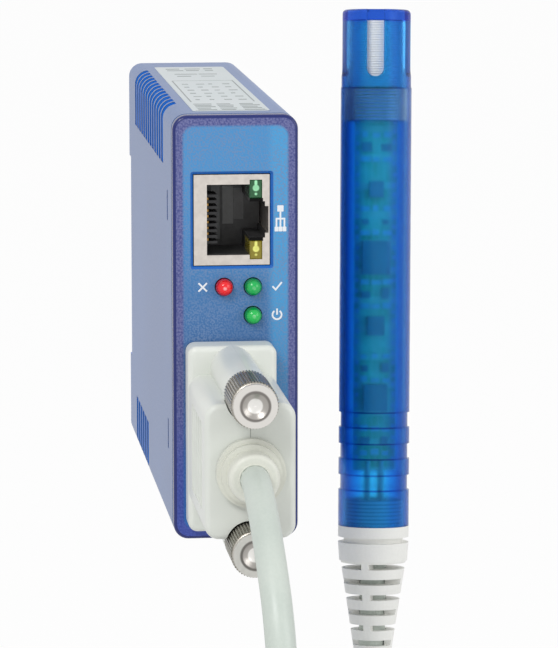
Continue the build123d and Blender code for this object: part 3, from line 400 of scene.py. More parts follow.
def make_jack_black():
    """Black moulding in the jack, with painted light on the steps of its rear wall and one near-black
    upright line.
    """
    material, bench, shader = new_material("jack_black")
    _, place = bench.place()
    grain, cloud = bench.use(mould_grain, grain_size=0.0005, cloud_size=0.003)
    colour = bench.mix(cloud, tint(44, 44, 45), tint(66, 66, 67))
    # Painted light on each step of the rear wall, then the near-black line: its middle, from the jack's
    # middle, its half sizes and its shade
    steps = (
        (-1.6, 0.4, (0.75, 5.5), tint(118, 120, 122)),
        (0.6, 1.0, (0.95, 3.4), tint(132, 133, 134)),
        (2.5, 1.2, (0.9, 2.8), tint(102, 102, 103)),
        (-3.0, 5.3, (1.4, 0.5), tint(128, 127, 124)),
        (-0.6, 0.3, (0.2, 5.9), tint(4, 4, 5)),
    )
    for aside, rise, half, shade in steps:
        step = rounded_mask(bench, place, half, STEP_CORNER, 0.1, (JACK_X + aside, JACK_Z + rise))
        colour = bench.mix(step, colour, shade)
    dress(bench, shader, colour, grain, 0.34, 0.44)
    add_bump(bench, shader, grain, 0.000006)
    return material


def make_screw_nickel(name, centre_z):
    """Nickel thumbscrew: grey knurl, with rings of painted reflection on the nose and a ring of painted
    shade at its dish edge.
    """
    material, bench, shader = new_material(name)
    _, place = bench.place()
    streak = bench.use(drawn_streaks, streak_size=0.0006)[0]
    colour = bench.mix(streak, tint(132, 128, 118), tint(168, 164, 154))
    # Radius and shade of the rings of painted reflection and painted shade, from the rim to the middle
    rings = (
        (3.75, tint(222, 219, 214)),
        (2.6, tint(128, 124, 120)),
        (2.15, tint(172, 168, 163)),
        (1.25, tint(232, 230, 226)),
    )
    for radius, shade in rings:
        ring = disc_mask(bench, place, radius, 0.14, (PLUG_X, centre_z))
        colour = bench.mix(ring, colour, shade)
    dress(bench, shader, colour, streak, 0.28, 0.36)
    shader.inputs["Metallic"].default_value = 1.0
    return material


def make_lamp(name, light, dark, centre):
    """Clear tinted lamp: a brighter middle and darker rim, painted light and shade for the light its lens
    bends, and a pale spot of painted reflection on the cup of its chip.
    """
    material, bench, shader = new_material(name)
    _, place = bench.place()
    grain, cloud = bench.use(mould_grain, grain_size=0.0006, cloud_size=0.0014)
    # Painted light in the middle and painted shade at the rim, and a painted reflection on the chip's cup
    middle = disc_mask(bench, place, LAMP_LIT_MIDDLE, 0.4, centre)
    cup = disc_mask(bench, place, LAMP_CUP_GLINT, 0.14, centre)
    colour = bench.mix(middle, dark, light)
    pale = tuple(0.45 + 0.55 * level for level in light)
    colour = bench.mix(bench.math("MULTIPLY", cup, bench.ramp(cloud, 0.2, 0.8, 0.2, 0.8)), colour, pale)
    dress(bench, shader, colour, grain, 0.07, 0.13)
    return material


def make_jack_light(name, light, dark, centre):
    """Light window of the jack: a pale bulb shape in a darker clear block."""
    material, bench, shader = new_material(name)
    _, place = bench.place()
    grain, cloud = bench.use(mould_grain, grain_size=0.0005, cloud_size=0.0012)
    masks = []
    # The bulb, its neck and its foot: height above the middle, and half sizes
    for rise, half in ((0.2, (0.56, 0.56)), (0.95, (0.24, 0.6)), (-0.85, (0.22, 0.2))):
        masks.append(rounded_mask(bench, place, half, min(half), 0.12, (centre[0], centre[1] + rise)))
    bulb = bench.math("MAXIMUM", bench.math("MAXIMUM", masks[0], masks[1]), masks[2])
    shaded = bench.math("MULTIPLY", bulb, bench.ramp(cloud, 0.0, 1.0, 0.75, 1.0))
    dress(bench, shader, bench.mix(shaded, dark, light), grain, 0.16, 0.24)
    return material


def make_hood_white():
    """Off-white hood with the fine parting line between its halves."""
    material, bench, shader = new_material("hood_white")
    _, (across, along, _) = bench.place()
    grain, cloud = bench.use(mould_grain, grain_size=0.0005, cloud_size=0.016)
    body = bench.mix(cloud, tint(218, 222, 215), tint(226, 229, 223))
    offset = bench.math("ABSOLUTE", bench.math("SUBTRACT", across, PLUG_X * MM))
    seam = bench.ramp(offset, 0.00004, 0.00009, 0.75, 0.0)
    nose = bench.ramp(along, (HOOD_FRONT_Y + 0.3) * MM, (HOOD_FRONT_Y + 1.0) * MM, 1.0, 0.12)
    seam = bench.math("MULTIPLY", seam, nose)
    dress(bench, shader, bench.mix(seam, body, tint(120, 124, 118)), cloud, 0.3, 0.38)
    add_bump(bench, shader, grain, 0.000003)
    return material


def probe_height(bench, where):
    """Distance along the probe from the lower end of its tube, in metres."""
    level = bench.node("ShaderNodeVectorMath", {0: where, 1: tuple(probe_axis)}, operation="DOT_PRODUCT")
    return bench.math("SUBTRACT", level.outputs["Value"], probe_axis.dot(PROBE_BASE) * MM)


def make_probe_clear():
    """Clear tinted blue shell of the probe: painted light where its wall is seen face-on and over the cap's
    spigot, painted shade where its wall is seen edge-on and at its groove edges, and deeper at its end.
    """
    material, bench, shader = new_material("probe_clear")
    lit_middle_tint = (0.14, 0.66, 0.97, 1.0)
    edge_shade_tint = (0.004, 0.045, 0.42, 1.0)
    spigot_light_tint = (0.45, 0.8, 1.0, 1.0)
    groove_shade_tint = (0.006, 0.1, 0.55, 1.0)
    end_tint = (0.02, 0.1, 0.62, 1.0)
    where, _ = bench.place()
    grain, cloud = bench.use(mould_grain, grain_size=0.002, cloud_size=0.02)
    height = probe_height(bench, where)
    colour = bench.mix(cloud, (0.055, 0.38, 0.86, 1.0), (0.075, 0.42, 0.89, 1.0))
    slant = bench.node("ShaderNodeLayerWeight", {"Blend": 0.5}).outputs["Facing"]
    # Painted light where the wall is seen face-on
    colour = bench.mix(bench.ramp(slant, 0.02, 0.15), lit_middle_tint, colour)
    spigot_low = PROBE_TUBE_LENGTH - SPIGOT_DEPTH
    # Painted light: a lighter tint over the cap's spigot
    above = bench.ramp(height, spigot_low * MM, (spigot_low + 0.6) * MM)
    below = bench.ramp(height, (PROBE_TUBE_LENGTH - 0.4) * MM, PROBE_TUBE_LENGTH * MM, 1.0, 0.0)
    colour = bench.mix(bench.math("MULTIPLY", above, below), colour, spigot_light_tint)
    # Painted shade where the wall is seen edge-on
    colour = bench.mix(bench.ramp(slant, 0.15, 0.62), colour, edge_shade_tint)
    # Painted shade: dark lines along the groove edges, where the wall is seen edge-on
    for groove in range(GROOVE_COUNT):
        for edge in (GROOVE_FIRST, GROOVE_FIRST + GROOVE_WIDTH):
            level = (edge + groove * GROOVE_PITCH) * MM
            offset = bench.math("ABSOLUTE", bench.math("SUBTRACT", height, level))
            colour = bench.mix(bench.ramp(offset, 0.0001, 0.00022, 0.85, 0.0), colour, groove_shade_tint)
    end = (PROBE_TUBE_LENGTH + CAP_LENGTH - CAP_TOP) * MM
    colour = bench.mix(bench.ramp(height, end - 0.0004, end), colour, end_tint)
    dress(bench, shader, colour, grain, 0.2, 0.26)
    shader.inputs["Specular IOR Level"].default_value = 0.12
    shader.inputs["Specular Tint"].default_value = (0.26, 0.5, 0.9, 1.0)
    shader.inputs["Transmission Weight"].default_value = 0.96
    shader.inputs["IOR"].default_value = 1.42
    return material


def make_boot_white():
    """Soft off-white moulding of the bend relief, with fine dark lines of painted shade for the thread on
    the end inside the tube.
    """
    material, bench, shader = new_material("boot_white")
    where, _ = bench.place()
    grain, cloud = bench.use(mould_grain, grain_size=0.0005)
    share = bench.math("MULTIPLY_ADD", grain, 0.3, bench.math("MULTIPLY", cloud, 0.7))
    body = bench.mix(share, tint(240, 240, 236), tint(248, 248, 244))
    height = probe_height(bench, where)
    # Painted shade: fine dark lines for the grooves of the thread on the end inside the tube
    lines = bench.ramp(bench.math("PINGPONG", height, 0.00036), 0.0001, 0.0002, 0.45, 0.0)
    lines = bench.math("MULTIPLY", lines, bench.ramp(height, 0.0001, 0.0003))
    dress(bench, shader, bench.mix(lines, body, tint(96, 118, 150)), cloud, 0.44, 0.52)
    add_bump(bench, shader, grain, 0.00001)
    return material


def make_board_green(name, light, dark, track, cloud_size):
    """Solder mask with fainter copper tracks under it."""
    material, bench, shader = new_material(name)
    where, _ = bench.place()
    grain, cloud = bench.use(mould_grain, grain_size=0.0004, cloud_size=cloud_size)
    tracks = bench.node("ShaderNodeTexBrick", {"Vector": where, "Scale": 420.0, "Mortar Size": 0.03})
    body = bench.mix(cloud, dark, light)
    dress(bench, shader, bench.mix(tracks.outputs["Fac"], body, track), grain, 0.28, 0.4)
    add_bump(bench, shader, tracks.outputs["Fac"], 0.00002)
    return material


housing_blue = make_housing_blue()
latch_blue = moulded("latch_blue", tint(44, 82, 160), tint(34, 66, 140), 0.45, 0.0006, 0.00001)
panel_blue = make_panel_blue()
spring_steel = plated("spring_steel", tint(206, 206, 204), tint(176, 178, 180), 0.26)
board_green = make_board_green("board_green", tint(34, 128, 78), tint(22, 104, 62), tint(70, 150, 96), 0.01)
probe_green = make_board_green(
    "probe_green", tint(214, 250, 214), tint(132, 214, 156), tint(232, 248, 214), 0.005
)
chip_black = moulded("chip_black", tint(44, 44, 46), tint(30, 30, 32), 0.5, 0.0003, 0.00001)
probe_grey = moulded("probe_grey", tint(192, 188, 192), tint(160, 156, 162), 0.5, 0.0003, 0.00001)
part_pale = moulded("part_pale", tint(244, 248, 250), tint(214, 222, 226), 0.4, 0.0003, 0.000004)
tin_plate = plated("tin_plate", tint(228, 220, 210), tint(206, 198, 188), 0.4, 0.0005)
shield_tin = make_shield_tin()
jack_black = make_jack_black()
insert_black = moulded("insert_black", tint(34, 34, 36), tint(20, 20, 22), 0.42, 0.0004, 0.000006)
contact_gold = plated("contact_gold", tint(176, 138, 76), tint(128, 96, 50), 0.3, 0.0003)
nickel_plate = plated("nickel_plate", tint(214, 208, 200), tint(176, 170, 162), 0.26, 0.0003)
upper_nickel = make_screw_nickel("upper_nickel", PLUG_Z + SCREW_SPACING / 2)
lower_nickel = make_screw_nickel("lower_nickel", PLUG_Z - SCREW_SPACING / 2)
hood_white = make_hood_white()
gland_cream = moulded("gland_cream", tint(228, 229, 218), tint(216, 218, 208), 0.36, 0.0005, 0.000004, 0.3)
cable_grey = moulded("cable_grey", tint(208, 216, 208), tint(196, 206, 198), 0.4, 0.0006, 0.000008, 0.3)
tie_white = moulded("tie_white", tint(222, 222, 218), tint(208, 209, 205), 0.36, 0.0005, 0.000006, 0.3)
probe_clear = make_probe_clear()
filter_white = moulded("filter_white", tint(242, 244, 244), tint(228, 231, 232), 0.7, 0.0002, 0.00001, 0.6)
wire_white = moulded("wire_white", tint(224, 224, 220), tint(210, 210, 206), 0.4)
boot_white = make_boot_white()
thread_blue = moulded("thread_blue", tint(190, 226, 255), tint(160, 208, 255), 0.2, 0.0006, 0.000002)
label_film = moulded("label_film", tint(204, 213, 215), tint(194, 203, 207), 0.34, 0.0005, 0.000002, 0.3)
label_print = moulded("label_print", tint(150, 158, 158), tint(132, 140, 142), 0.5, 0.0004, 0.000002, 0.6)
print_white = moulded("print_white", tint(238, 241, 244), tint(226, 230, 236), 0.45, 0.0003, 0.000002, 0.5)
error_red = make_lamp("error_red", tint(240, 20, 32), tint(176, 6, 18), (ERROR_X, LAMP_ROW_Z))
status_green = make_lamp("status_green", tint(8, 178, 84), tint(0, 122, 56), (LAMP_COLUMN_X, LAMP_ROW_Z))
power_green = make_lamp("power_green", tint(24, 190, 84), tint(0, 126, 56), (LAMP_COLUMN_X, POWER_Z))
link_place = (JACK_LIGHT_X, JACK_Z + JACK_LIGHT_RISE)
link_green = make_jack_light("link_green", tint(166, 240, 186), tint(34, 88, 52), link_place)
activity_place = (JACK_LIGHT_X, JACK_Z - JACK_LIGHT_RISE)
activity_yellow = make_jack_light(
    "activity_yellow", tint(240, 240, 130), tint(134, 122, 30), activity_place
)

FINISHES = {
    "housing_body": housing_blue,
    "front_panel": panel_blue,
    "rail_latch": latch_blue,
    "main_board": board_green,
    "board_chips": chip_black,
    "network_jack_shield": shield_tin,
    "network_jack_insert": jack_black,
    "network_jack_contacts": contact_gold,
    "network_jack_link_led": link_green,
    "network_jack_activity_led": activity_yellow,
    "error_led": error_red,
    "status_led": status_green,
    "power_led": power_green,
    "led_leads": tin_plate,
    "sensor_socket_shell": tin_plate,
    "sensor_socket_insert": insert_black,
    "sensor_socket_pins": contact_gold,
    "standoffs": nickel_plate,
    "plug_shell": tin_plate,
    "plug_insert": insert_black,
    "plug_pins": contact_gold,
    "plug_hood_left": hood_white,
    "plug_hood_right": hood_white,
    "upper_thumbscrew": upper_nickel,
    "lower_thumbscrew": lower_nickel,
    "plug_cable_gland": gland_cream,
    "probe_tube": probe_clear,
    "probe_cap": probe_clear,
    "probe_filter": filter_white,
    "probe_board": probe_green,
    "probe_board_chips": probe_grey,
    "sensor_element": chip_black,
    "probe_wires": wire_white,
    "probe_boot": boot_white,
}
for node_name, finish_material in FINISHES.items():
    mesh = nodes[node_name].data
    mesh.materials.clear()
    mesh.materials.append(finish_material)


def show(name, data):
    """A new object in the scene, for a mesh, a curve, a lamp or the camera."""
    piece = bpy.data.objects.new(name, data)
    scene.collection.objects.link(piece)
    return piece


def finished_mesh(name, form, material):
    """A plain mesh of one material, from a form that is then let go."""
    mesh = bpy.data.meshes.new(name)
    form.to_mesh(mesh)
    form.free()
    mesh.materials.append(material)
    return mesh


# Cable: one smooth line from the bush, through the tied coil, up into the probe
def coil_points():
    """Control points of the coil's turns, in flat layers that run in and out again."""
    turns = COIL_LAYERS * TURNS_DEEP + (COIL_EXIT - COIL_ENTRY) / 360 - COIL_LAYERS * TURNS_DEEP % 1
    steps = round(turns * POINTS_PER_TURN)
    first_x = COIL_X - TURN_PITCH * (COIL_LAYERS - 1) / 2
    depth = TURN_PITCH * TURNS_DEEP
    points = []
    for step in range(steps + 1):
        share = step / steps
        layer_share = min(share * COIL_LAYERS, COIL_LAYERS - 1e-6)
        layer = int(layer_share)
        inward = layer_share - layer
        if layer % 2:
            inward = 1 - inward
        radius = COIL_RADIUS - depth * inward
        late = layer_share - layer - (1 - CROSSING / 2)
        early = CROSSING / 2 - (layer_share - layer)
        over = max(0.0, late / CROSSING) if layer < COIL_LAYERS - 1 else 0.0
        under = max(0.0, early / CROSSING) if layer > 0 else 0.0
        angle = math.radians(COIL_ENTRY + 360 * turns * share)
        points.append(
            (
                first_x + TURN_PITCH * (layer + over - under),
                COIL_Y + radius * math.cos(angle),
                COIL_Z + radius * math.sin(angle),
            )
        )
    return points


cable_route = [
    (PLUG_X, HOOD_FRONT_Y - GLAND_RING, PLUG_Z),
    (PLUG_X, -141.0, PLUG_Z),
    (PLUG_X, -147.0, PLUG_Z),
    (-1.0, -163.0, -25.2),
    (-0.3, -174.0, -37.0),
    (0.4, -174.3, -54.0),
    (1.6, -169.0, -78.0),
    (3.6, -153.0, -102.0),
    (6.2, -125.5, -123.7),
    *coil_points(),
    tuple(PROBE_BASE - probe_axis * (BOOT_END + BOOT_LEAD)),
    tuple(PROBE_BASE - probe_axis * CABLE_STOP),
]


def make_cable():
    """The cable as a round curve through the route's control points."""
    line = bpy.data.curves.new("probe_cable", "CURVE")
    line.dimensions = "3D"
    line.bevel_depth = CABLE_DIAMETER / 2 * MM
    line.bevel_resolution = 4
    line.resolution_u = 6
    line.use_fill_caps = True
    spline = line.splines.new("NURBS")
    spline.points.add(len(cable_route) - 1)
    for point, place in zip(spline.points, cable_route):
        point.co = (*(Vector(place) * MM), 1.0)
    spline.order_u = 3
    spline.use_endpoint_u = True
    line.materials.append(cable_grey)
    return show("probe_cable", line)


# Tie: a flat band that lies snug round the coil's turns
TIE_WIDTH = 4.6
TIE_BAND = 0.9
TIE_SLACK = 0.1
TIE_STEPS = 72


def turns_under_tie(cable):
    """Points of the cable's surface in the width of the tie, seen along the depth."""
    turns = bpy.data.meshes.new_from_object(cable.evaluated_get(bpy.context.evaluated_depsgraph_get()))
    points = []
    for vertex in turns.vertices:
        if abs(vertex.co.y - COIL_Y * MM) < TIE_WIDTH / 2 * MM and vertex.co.z > COIL_Z * MM:
            points.append(Vector((vertex.co.x, vertex.co.z)))
    bpy.data.meshes.remove(turns)
    return points


def make_tie_band(points):
    """The band as a closed loop of four-sided steps round the outermost points."""
    band = bmesh.new()
    steps = []
    for step in range(TIE_STEPS):
        angle = math.radians(360 * step / TIE_STEPS)
        out = Vector((math.cos(angle), math.sin(angle)))
        outermost = max(points, key=out.dot)
        corners = []
        for reach, side in ((0.0, -1), (TIE_BAND, -1), (TIE_BAND, 1), (0.0, 1)):
            spot = outermost + out * (TIE_SLACK + reach) * MM
            corners.append(band.verts.new((spot.x, (COIL_Y + side * TIE_WIDTH / 2) * MM, spot.y)))
        steps.append(corners)
    for index, corners in enumerate(steps):
        ahead = steps[(index + 1) % TIE_STEPS]
        for first in range(4):
            last = (first + 1) % 4
            band.faces.new((corners[first], corners[last], ahead[last], ahead[first]))
    bmesh.ops.recalc_face_normals(band, faces=band.faces)
    piece = show("tie_band", finished_mesh("tie_band", band, tie_white))
    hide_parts("coil_tie")
    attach(piece, "unit")
    return piece


probe_cable = make_cable()
tied_turns = turns_under_tie(probe_cable)
tie_band = make_tie_band(tied_turns)
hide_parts("cable_drop", "cable_coil", "cable_rise")
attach(probe_cable, "unit")


def make_latch_spring():
    """The strip as a piece of its own, with its lower edge held by the shelf of the channel."""
    strip = bmesh.new()
    strip.from_mesh(nodes["latch_spring"].data)
    bmesh.ops.remove_doubles(strip, verts=strip.verts, dist=0.000002)
    piece = show("waved_spring", finished_mesh("waved_spring", strip, spring_steel))
    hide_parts("latch_spring")
    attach(piece, "unit")
    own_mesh(piece)


make_latch_spring()


# Fine pieces that repeat: one geometry tree for each kind, with its counts and sizes as inputs
def geometry_tree(name, inputs):
    """An empty geometry tree with named inputs."""
    tree = bpy.data.node_groups.new(name, "GeometryNodeTree")
    tree.interface.new_socket(name="Geometry", in_out="OUTPUT", socket_type="NodeSocketGeometry")
    for label, kind in inputs:
        tree.interface.new_socket(name=label, in_out="INPUT", socket_type=kind)
    bench = Bench(tree)
    return tree, bench, bench.node("NodeGroupInput").outputs, bench.node("NodeGroupOutput").inputs


def repeat_on(bench, given, result, points, piece, scale=(1.0, 1.0, 1.0)):
    """Set one piece on each point, make it real and give it the material."""
    feeds = {"Points": points, "Instance": piece, "Scale": scale}
    spread = bench.node("GeometryNodeInstanceOnPoints", feeds)
    real = bench.node("GeometryNodeRealizeInstances", {"Geometry": spread.outputs["Instances"]})
    feeds = {"Geometry": real.outputs["Geometry"], "Material": given["Material"]}
    painted = bench.node("GeometryNodeSetMaterial", feeds)
    bench.feed(result["Geometry"], painted.outputs["Geometry"])


def make_block_rows():
    """Rows and columns of blocks whose sizes and places vary by a fixed seed."""
    tree, bench, given, result = geometry_tree(
        "block_rows",
        [
            ("Columns", "NodeSocketInt"),
            ("Rows", "NodeSocketInt"),
            ("Field", "NodeSocketVector"),
            ("Smallest", "NodeSocketVector"),
            ("Largest", "NodeSocketVector"),
            ("Stray", "NodeSocketVector"),
            ("Seed", "NodeSocketInt"),
            ("Material", "NodeSocketMaterial"),
        ],
    )
    field = bench.node("ShaderNodeSeparateXYZ", {0: given["Field"]}).outputs
    feeds = {
        "Size X": field[0],
        "Size Y": field[1],
        "Vertices X": given["Columns"],
        "Vertices Y": given["Rows"],
    }
    grid = bench.node("GeometryNodeMeshGrid", feeds)
    feeds = {"Vector": given["Stray"], "Scale": -1.0}
    back = bench.node("ShaderNodeVectorMath", feeds, operation="SCALE").outputs[0]
    drawn = []
    for low, high in ((back, given["Stray"]), (given["Smallest"], given["Largest"])):
        feeds = {"Min": low, "Max": high, "Seed": given["Seed"]}
        picked = bench.node("FunctionNodeRandomValue", feeds, data_type="FLOAT_VECTOR")
        drawn.append(picked.outputs["Value"])
    stray, size = drawn
    feeds = {"Geometry": grid.outputs["Mesh"], "Offset": stray}
    moved = bench.node("GeometryNodeSetPosition", feeds).outputs["Geometry"]
    block = bench.node("GeometryNodeMeshCube", {"Size": (1.0, 1.0, 1.0)}).outputs["Mesh"]
    repeat_on(bench, given, result, moved, block, size)
    return tree


def make_ring_stack():
    """Round wire rings stacked along one axis."""
    tree, bench, given, result = geometry_tree(
        "ring_stack",
        [
            ("Count", "NodeSocketInt"),
            ("Pitch", "NodeSocketFloat"),
            ("Ring radius", "NodeSocketFloat"),
            ("Wire radius", "NodeSocketFloat"),
            ("Material", "NodeSocketMaterial"),
        ],
    )
    step = bench.node("ShaderNodeCombineXYZ", {2: given["Pitch"]}).outputs[0]
    line = bench.node("GeometryNodeMeshLine", {"Count": given["Count"], "Offset": step})
    circles = []
    for label, sides in (("Ring radius", 56), ("Wire radius", 6)):
        feeds = {"Resolution": sides, "Radius": given[label]}
        circles.append(bench.node("GeometryNodeCurvePrimitiveCircle", feeds).outputs["Curve"])
    ring = bench.node("GeometryNodeCurveToMesh", {"Curve": circles[0], "Profile Curve": circles[1]})
    repeat_on(bench, given, result, line.outputs["Mesh"], ring.outputs["Mesh"])
    return tree


block_rows = make_block_rows()
ring_stack = make_ring_stack()


def facing(across, up, origin):
    """Place whose X runs across, Y runs up and Z points out of the face, with its origin in millimetres."""
    out = across.cross(up)
    turn = Matrix((across, up, out)).transposed().to_4x4()
    return Matrix.Translation(Vector(origin) * MM) @ turn


def keep(name, mesh):
    """Show a finished mesh as a piece of the fixed unit."""
    piece = show(name, mesh)
    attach(piece, "unit")


def grown(name, tree, place, slot_name, **values):
    """Run a geometry tree with these inputs, and keep the result as a plain mesh."""
    holder = show(name + "_seed", bpy.data.meshes.new(name + "_seed"))
    modifier = holder.modifiers.new(name, "NODES")
    modifier.node_group = tree
    for socket in tree.interface.items_tree:
        label = socket.name.lower().replace(" ", "_")
        if socket.in_out == "INPUT":
            modifier[socket.identifier] = values[label]
    evaluated = holder.evaluated_get(bpy.context.evaluated_depsgraph_get())
    mesh = bpy.data.meshes.new_from_object(evaluated)
    holder.modifiers.remove(modifier)
    bpy.data.objects.remove(holder)
    mesh.name = name
    mesh.transform(place)
    keep(name, mesh)


def sized(*sizes):
    """A size or place in millimetres, as the trees want it."""
    return tuple(size * MM for size in sizes)


right = Vector((1, 0, 0))
rearward = Vector((0, 1, 0))
upward = Vector((0, 0, 1))
TOP_FACE = facing(right, rearward, (0, 0, HALF_HEIGHT))
FRONT_FACE = facing(right, upward, (0, FRONT_Y, 0))


def rounded_outline(half_across, half_up, corner, centre=(0.0, 0.0), steps=6):
    """Points round a rounded rectangle, in millimetres."""
    points = []
    for quarter, (side, rise) in enumerate(((1, 1), (-1, 1), (-1, -1), (1, -1))):
        for step in range(steps + 1):
            angle = math.radians(90 * (quarter + step / steps))
            points.append(
                (
                    centre[0] + side * (half_across - corner) + corner * math.cos(angle),
                    centre[1] + rise * (half_up - corner) + corner * math.sin(angle),
                )
            )
    return points


def path_outline(path, width):
    """Points round a line of even width that follows a path, with mitred bends."""
    points = [Vector(point) for point in path]
    sides = ([], [])
    for index, point in enumerate(points):
        before = (point - points[index - 1]).normalized() if index else None
        after = (points[index + 1] - point).normalized() if index + 1 < len(points) else None
        first = before or after
        last = after or before
        aside = Vector((-first.y - last.y, first.x + last.x)).normalized()
        reach = width / 2 / aside.dot(Vector((-first.y, first.x)))
        sides[0].append(tuple(point + aside * reach))
        sides[1].append(tuple(point - aside * reach))
    return sides[1] + sides[0][::-1]


def arc_path(centre, radius, first, last, steps):
    """Points along an arc between two angles in degrees."""
    path = []
    for step in range(steps + 1):
        angle = math.radians(first + (last - first) * step / steps)
        path.append((centre[0] + radius * math.cos(angle), centre[1] + radius * math.sin(angle)))
    return path


def cross_outline(centre, reach, width):
    """Points round a slanted cross."""
    points = []
    for quarter in range(4):
        turn = Matrix.Rotation(math.radians(45 + 90 * quarter), 2)
        for corner in ((reach, -width / 2), (reach, width / 2), (width / 2, width / 2)):
            points.append(tuple(Vector(centre) + turn @ Vector(corner)))
    return points


def laid_film(name, outlines, thickness, place, material):
    """Thin film or print: closed flat shapes of one thickness on a face."""
    film = bmesh.new()
    for outline in outlines:
        lower = [film.verts.new((x * MM, y * MM, 0.0)) for x, y in outline]
        upper = [film.verts.new((x * MM, y * MM, thickness * MM)) for x, y in outline]
        film.faces.new(upper)
        film.faces.new(lower[::-1])
        for index in range(len(outline)):
            after = (index + 1) % len(outline)
            film.faces.new((lower[index], lower[after], upper[after], upper[index]))
    bmesh.ops.recalc_face_normals(film, faces=film.faces)
    mesh = finished_mesh(name, film, material)
    mesh.transform(place)
    keep(name, mesh)


# Label film on the top, with plain grey bars and lines
LABEL_HALF_WIDTH = 6.8
LABEL_FRONT_Y = -93.4
LABEL_REAR_Y = -6.7
LABEL_CORNER = 0.8
LABEL_FILM = 0.08
PRINT_FILM = 0.02
BAR_STRAY = (0.4, 0.15, 0.0)
BAR_LEAST_HEIGHT = 0.9
BAR_LARGEST_HEIGHT = 1.3
TABLE_LINE = ((-5.7, -77.0), (-5.7, -36.0), (5.7, -36.0), (5.7, -77.0))
TABLE_STROKE = 0.24
FRONT_LINE = ((-6.3, -92.4), (6.3, -92.4))
FRONT_STROKE = 0.3
label_middle = (LABEL_FRONT_Y + LABEL_REAR_Y) / 2
label_half_length = (LABEL_REAR_Y - LABEL_FRONT_Y) / 2
label_level = HALF_HEIGHT + LABEL_FILM
label_outline = rounded_outline(LABEL_HALF_WIDTH, label_half_length, LABEL_CORNER, (0.0, label_middle))
laid_film("top_label", [label_outline], LABEL_FILM, TOP_FACE, label_film)
# Each block of bars: middle along the label, columns, rows, field, shortest and longest bar, seed
label_bars = (
    ("label_notes", -86.0, 3, 5, (8.2, 10.0), 2.2, 4.0, 3),
    ("label_table", -58.0, 4, 6, (7.6, 30.0), 0.7, 1.8, 8),
    ("label_heading", -24.5, 2, 2, (4.6, 4.4), 2.4, 4.4, 5),
    ("label_footing", -13.0, 3, 2, (7.4, 3.4), 1.6, 3.2, 12),
)
for bar_name, middle, columns, rows, field, shortest, longest, seed in label_bars:
    grown(
        bar_name, block_rows, facing(right, rearward, (0, middle, label_level + PRINT_FILM / 2)), "housing",
        columns=columns, rows=rows, field=sized(*field, 0.0), stray=sized(*BAR_STRAY), seed=seed,
        smallest=sized(shortest, BAR_LEAST_HEIGHT, PRINT_FILM),
        largest=sized(longest, BAR_LARGEST_HEIGHT, PRINT_FILM), material=label_print,
    )
frame_lines = [path_outline(TABLE_LINE, TABLE_STROKE), path_outline(FRONT_LINE, FRONT_STROKE)]
label_top = facing(right, rearward, (0, 0, label_level))
laid_film("label_lines", frame_lines, PRINT_FILM, label_top, label_print)

# Plain signs on the front, beside the socket and the lamps
SIGN_FILM = 0.04
SIGN_STROKE = 0.3
NETWORK_SIGN = (7.85, 19.05)
ERROR_SIGN = (-5.8, LAMP_ROW_Z)
STATUS_SIGN = (7.25, LAMP_ROW_Z)
POWER_SIGN = (7.25, POWER_Z)
BRANCH = 0.7


def network_sign(x, z):
    """A tree of one box above and three below, joined by lines."""
    foot = z - 1.2
    bend = z + 0.2
    lines = (
        ((x, z + 0.35), (x, z + 1.45)),
        ((x, z + 0.05), (x, foot)),
        ((x - BRANCH, foot), (x - BRANCH, bend), (x + BRANCH, bend), (x + BRANCH, foot)),
    )
    outlines = [rounded_outline(0.55, 0.55, 0.12, (x, z + 2.0))]
    outlines.extend(path_outline(line, SIGN_STROKE) for line in lines)
    for aside in (-BRANCH, 0.0, BRANCH):
        outlines.append(rounded_outline(0.33, 0.42, 0.1, (x + aside, z - 1.62)))
    return outlines


def tick_sign(x, z):
    """A tick of two strokes."""
    return path_outline([(x - 0.8, z), (x - 0.25, z - 0.6), (x + 0.85, z + 0.7)], SIGN_STROKE)


def power_sign(x, z):
    """An open ring with an upright stroke in its gap."""
    ring = path_outline(arc_path((x, z), 0.8, 125, 415, 24), SIGN_STROKE)
    return [ring, path_outline([(x, z), (x, z + 1.1)], SIGN_STROKE)]


signs = [
    *network_sign(*NETWORK_SIGN),
    cross_outline(ERROR_SIGN, 1.05, SIGN_STROKE),
    tick_sign(*STATUS_SIGN),
    *power_sign(*POWER_SIGN),
]
laid_film("front_signs", signs, SIGN_FILM, FRONT_FACE, print_white)

# Guide comb between the jack's contacts
COMB_COUNT = 9
COMB_X = JACK_X - 3.45
COMB_Y = -95.6
COMB_LEAST = (1.9, 0.44, 5.0)
COMB_LARGEST = (2.2, 0.5, 5.2)
CONTACT_PITCH = 1.02
grown(
    "jack_comb", block_rows, facing(right, upward, (COMB_X, COMB_Y, JACK_Z)), "black_insert",
    columns=1, rows=COMB_COUNT, field=sized(0.0, CONTACT_PITCH * (COMB_COUNT - 1), 0.0),
    smallest=sized(*COMB_LEAST), largest=sized(*COMB_LARGEST), stray=sized(0.0, 0.0, 0.0), seed=2,
    material=insert_black,
)

# Soft lip where the cable leaves its bush
LIP_GAP = 0.08
LIP_WIRE = 0.16
grown(
    "gland_lip", ring_stack, facing(right, upward, (PLUG_X, HOOD_FRONT_Y - GLAND_END, PLUG_Z)), "gland",
    count=1, pitch=0.0, ring_radius=(CABLE_DIAMETER / 2 + LIP_GAP) * MM, wire_radius=LIP_WIRE * MM,
    material=gland_cream,
)

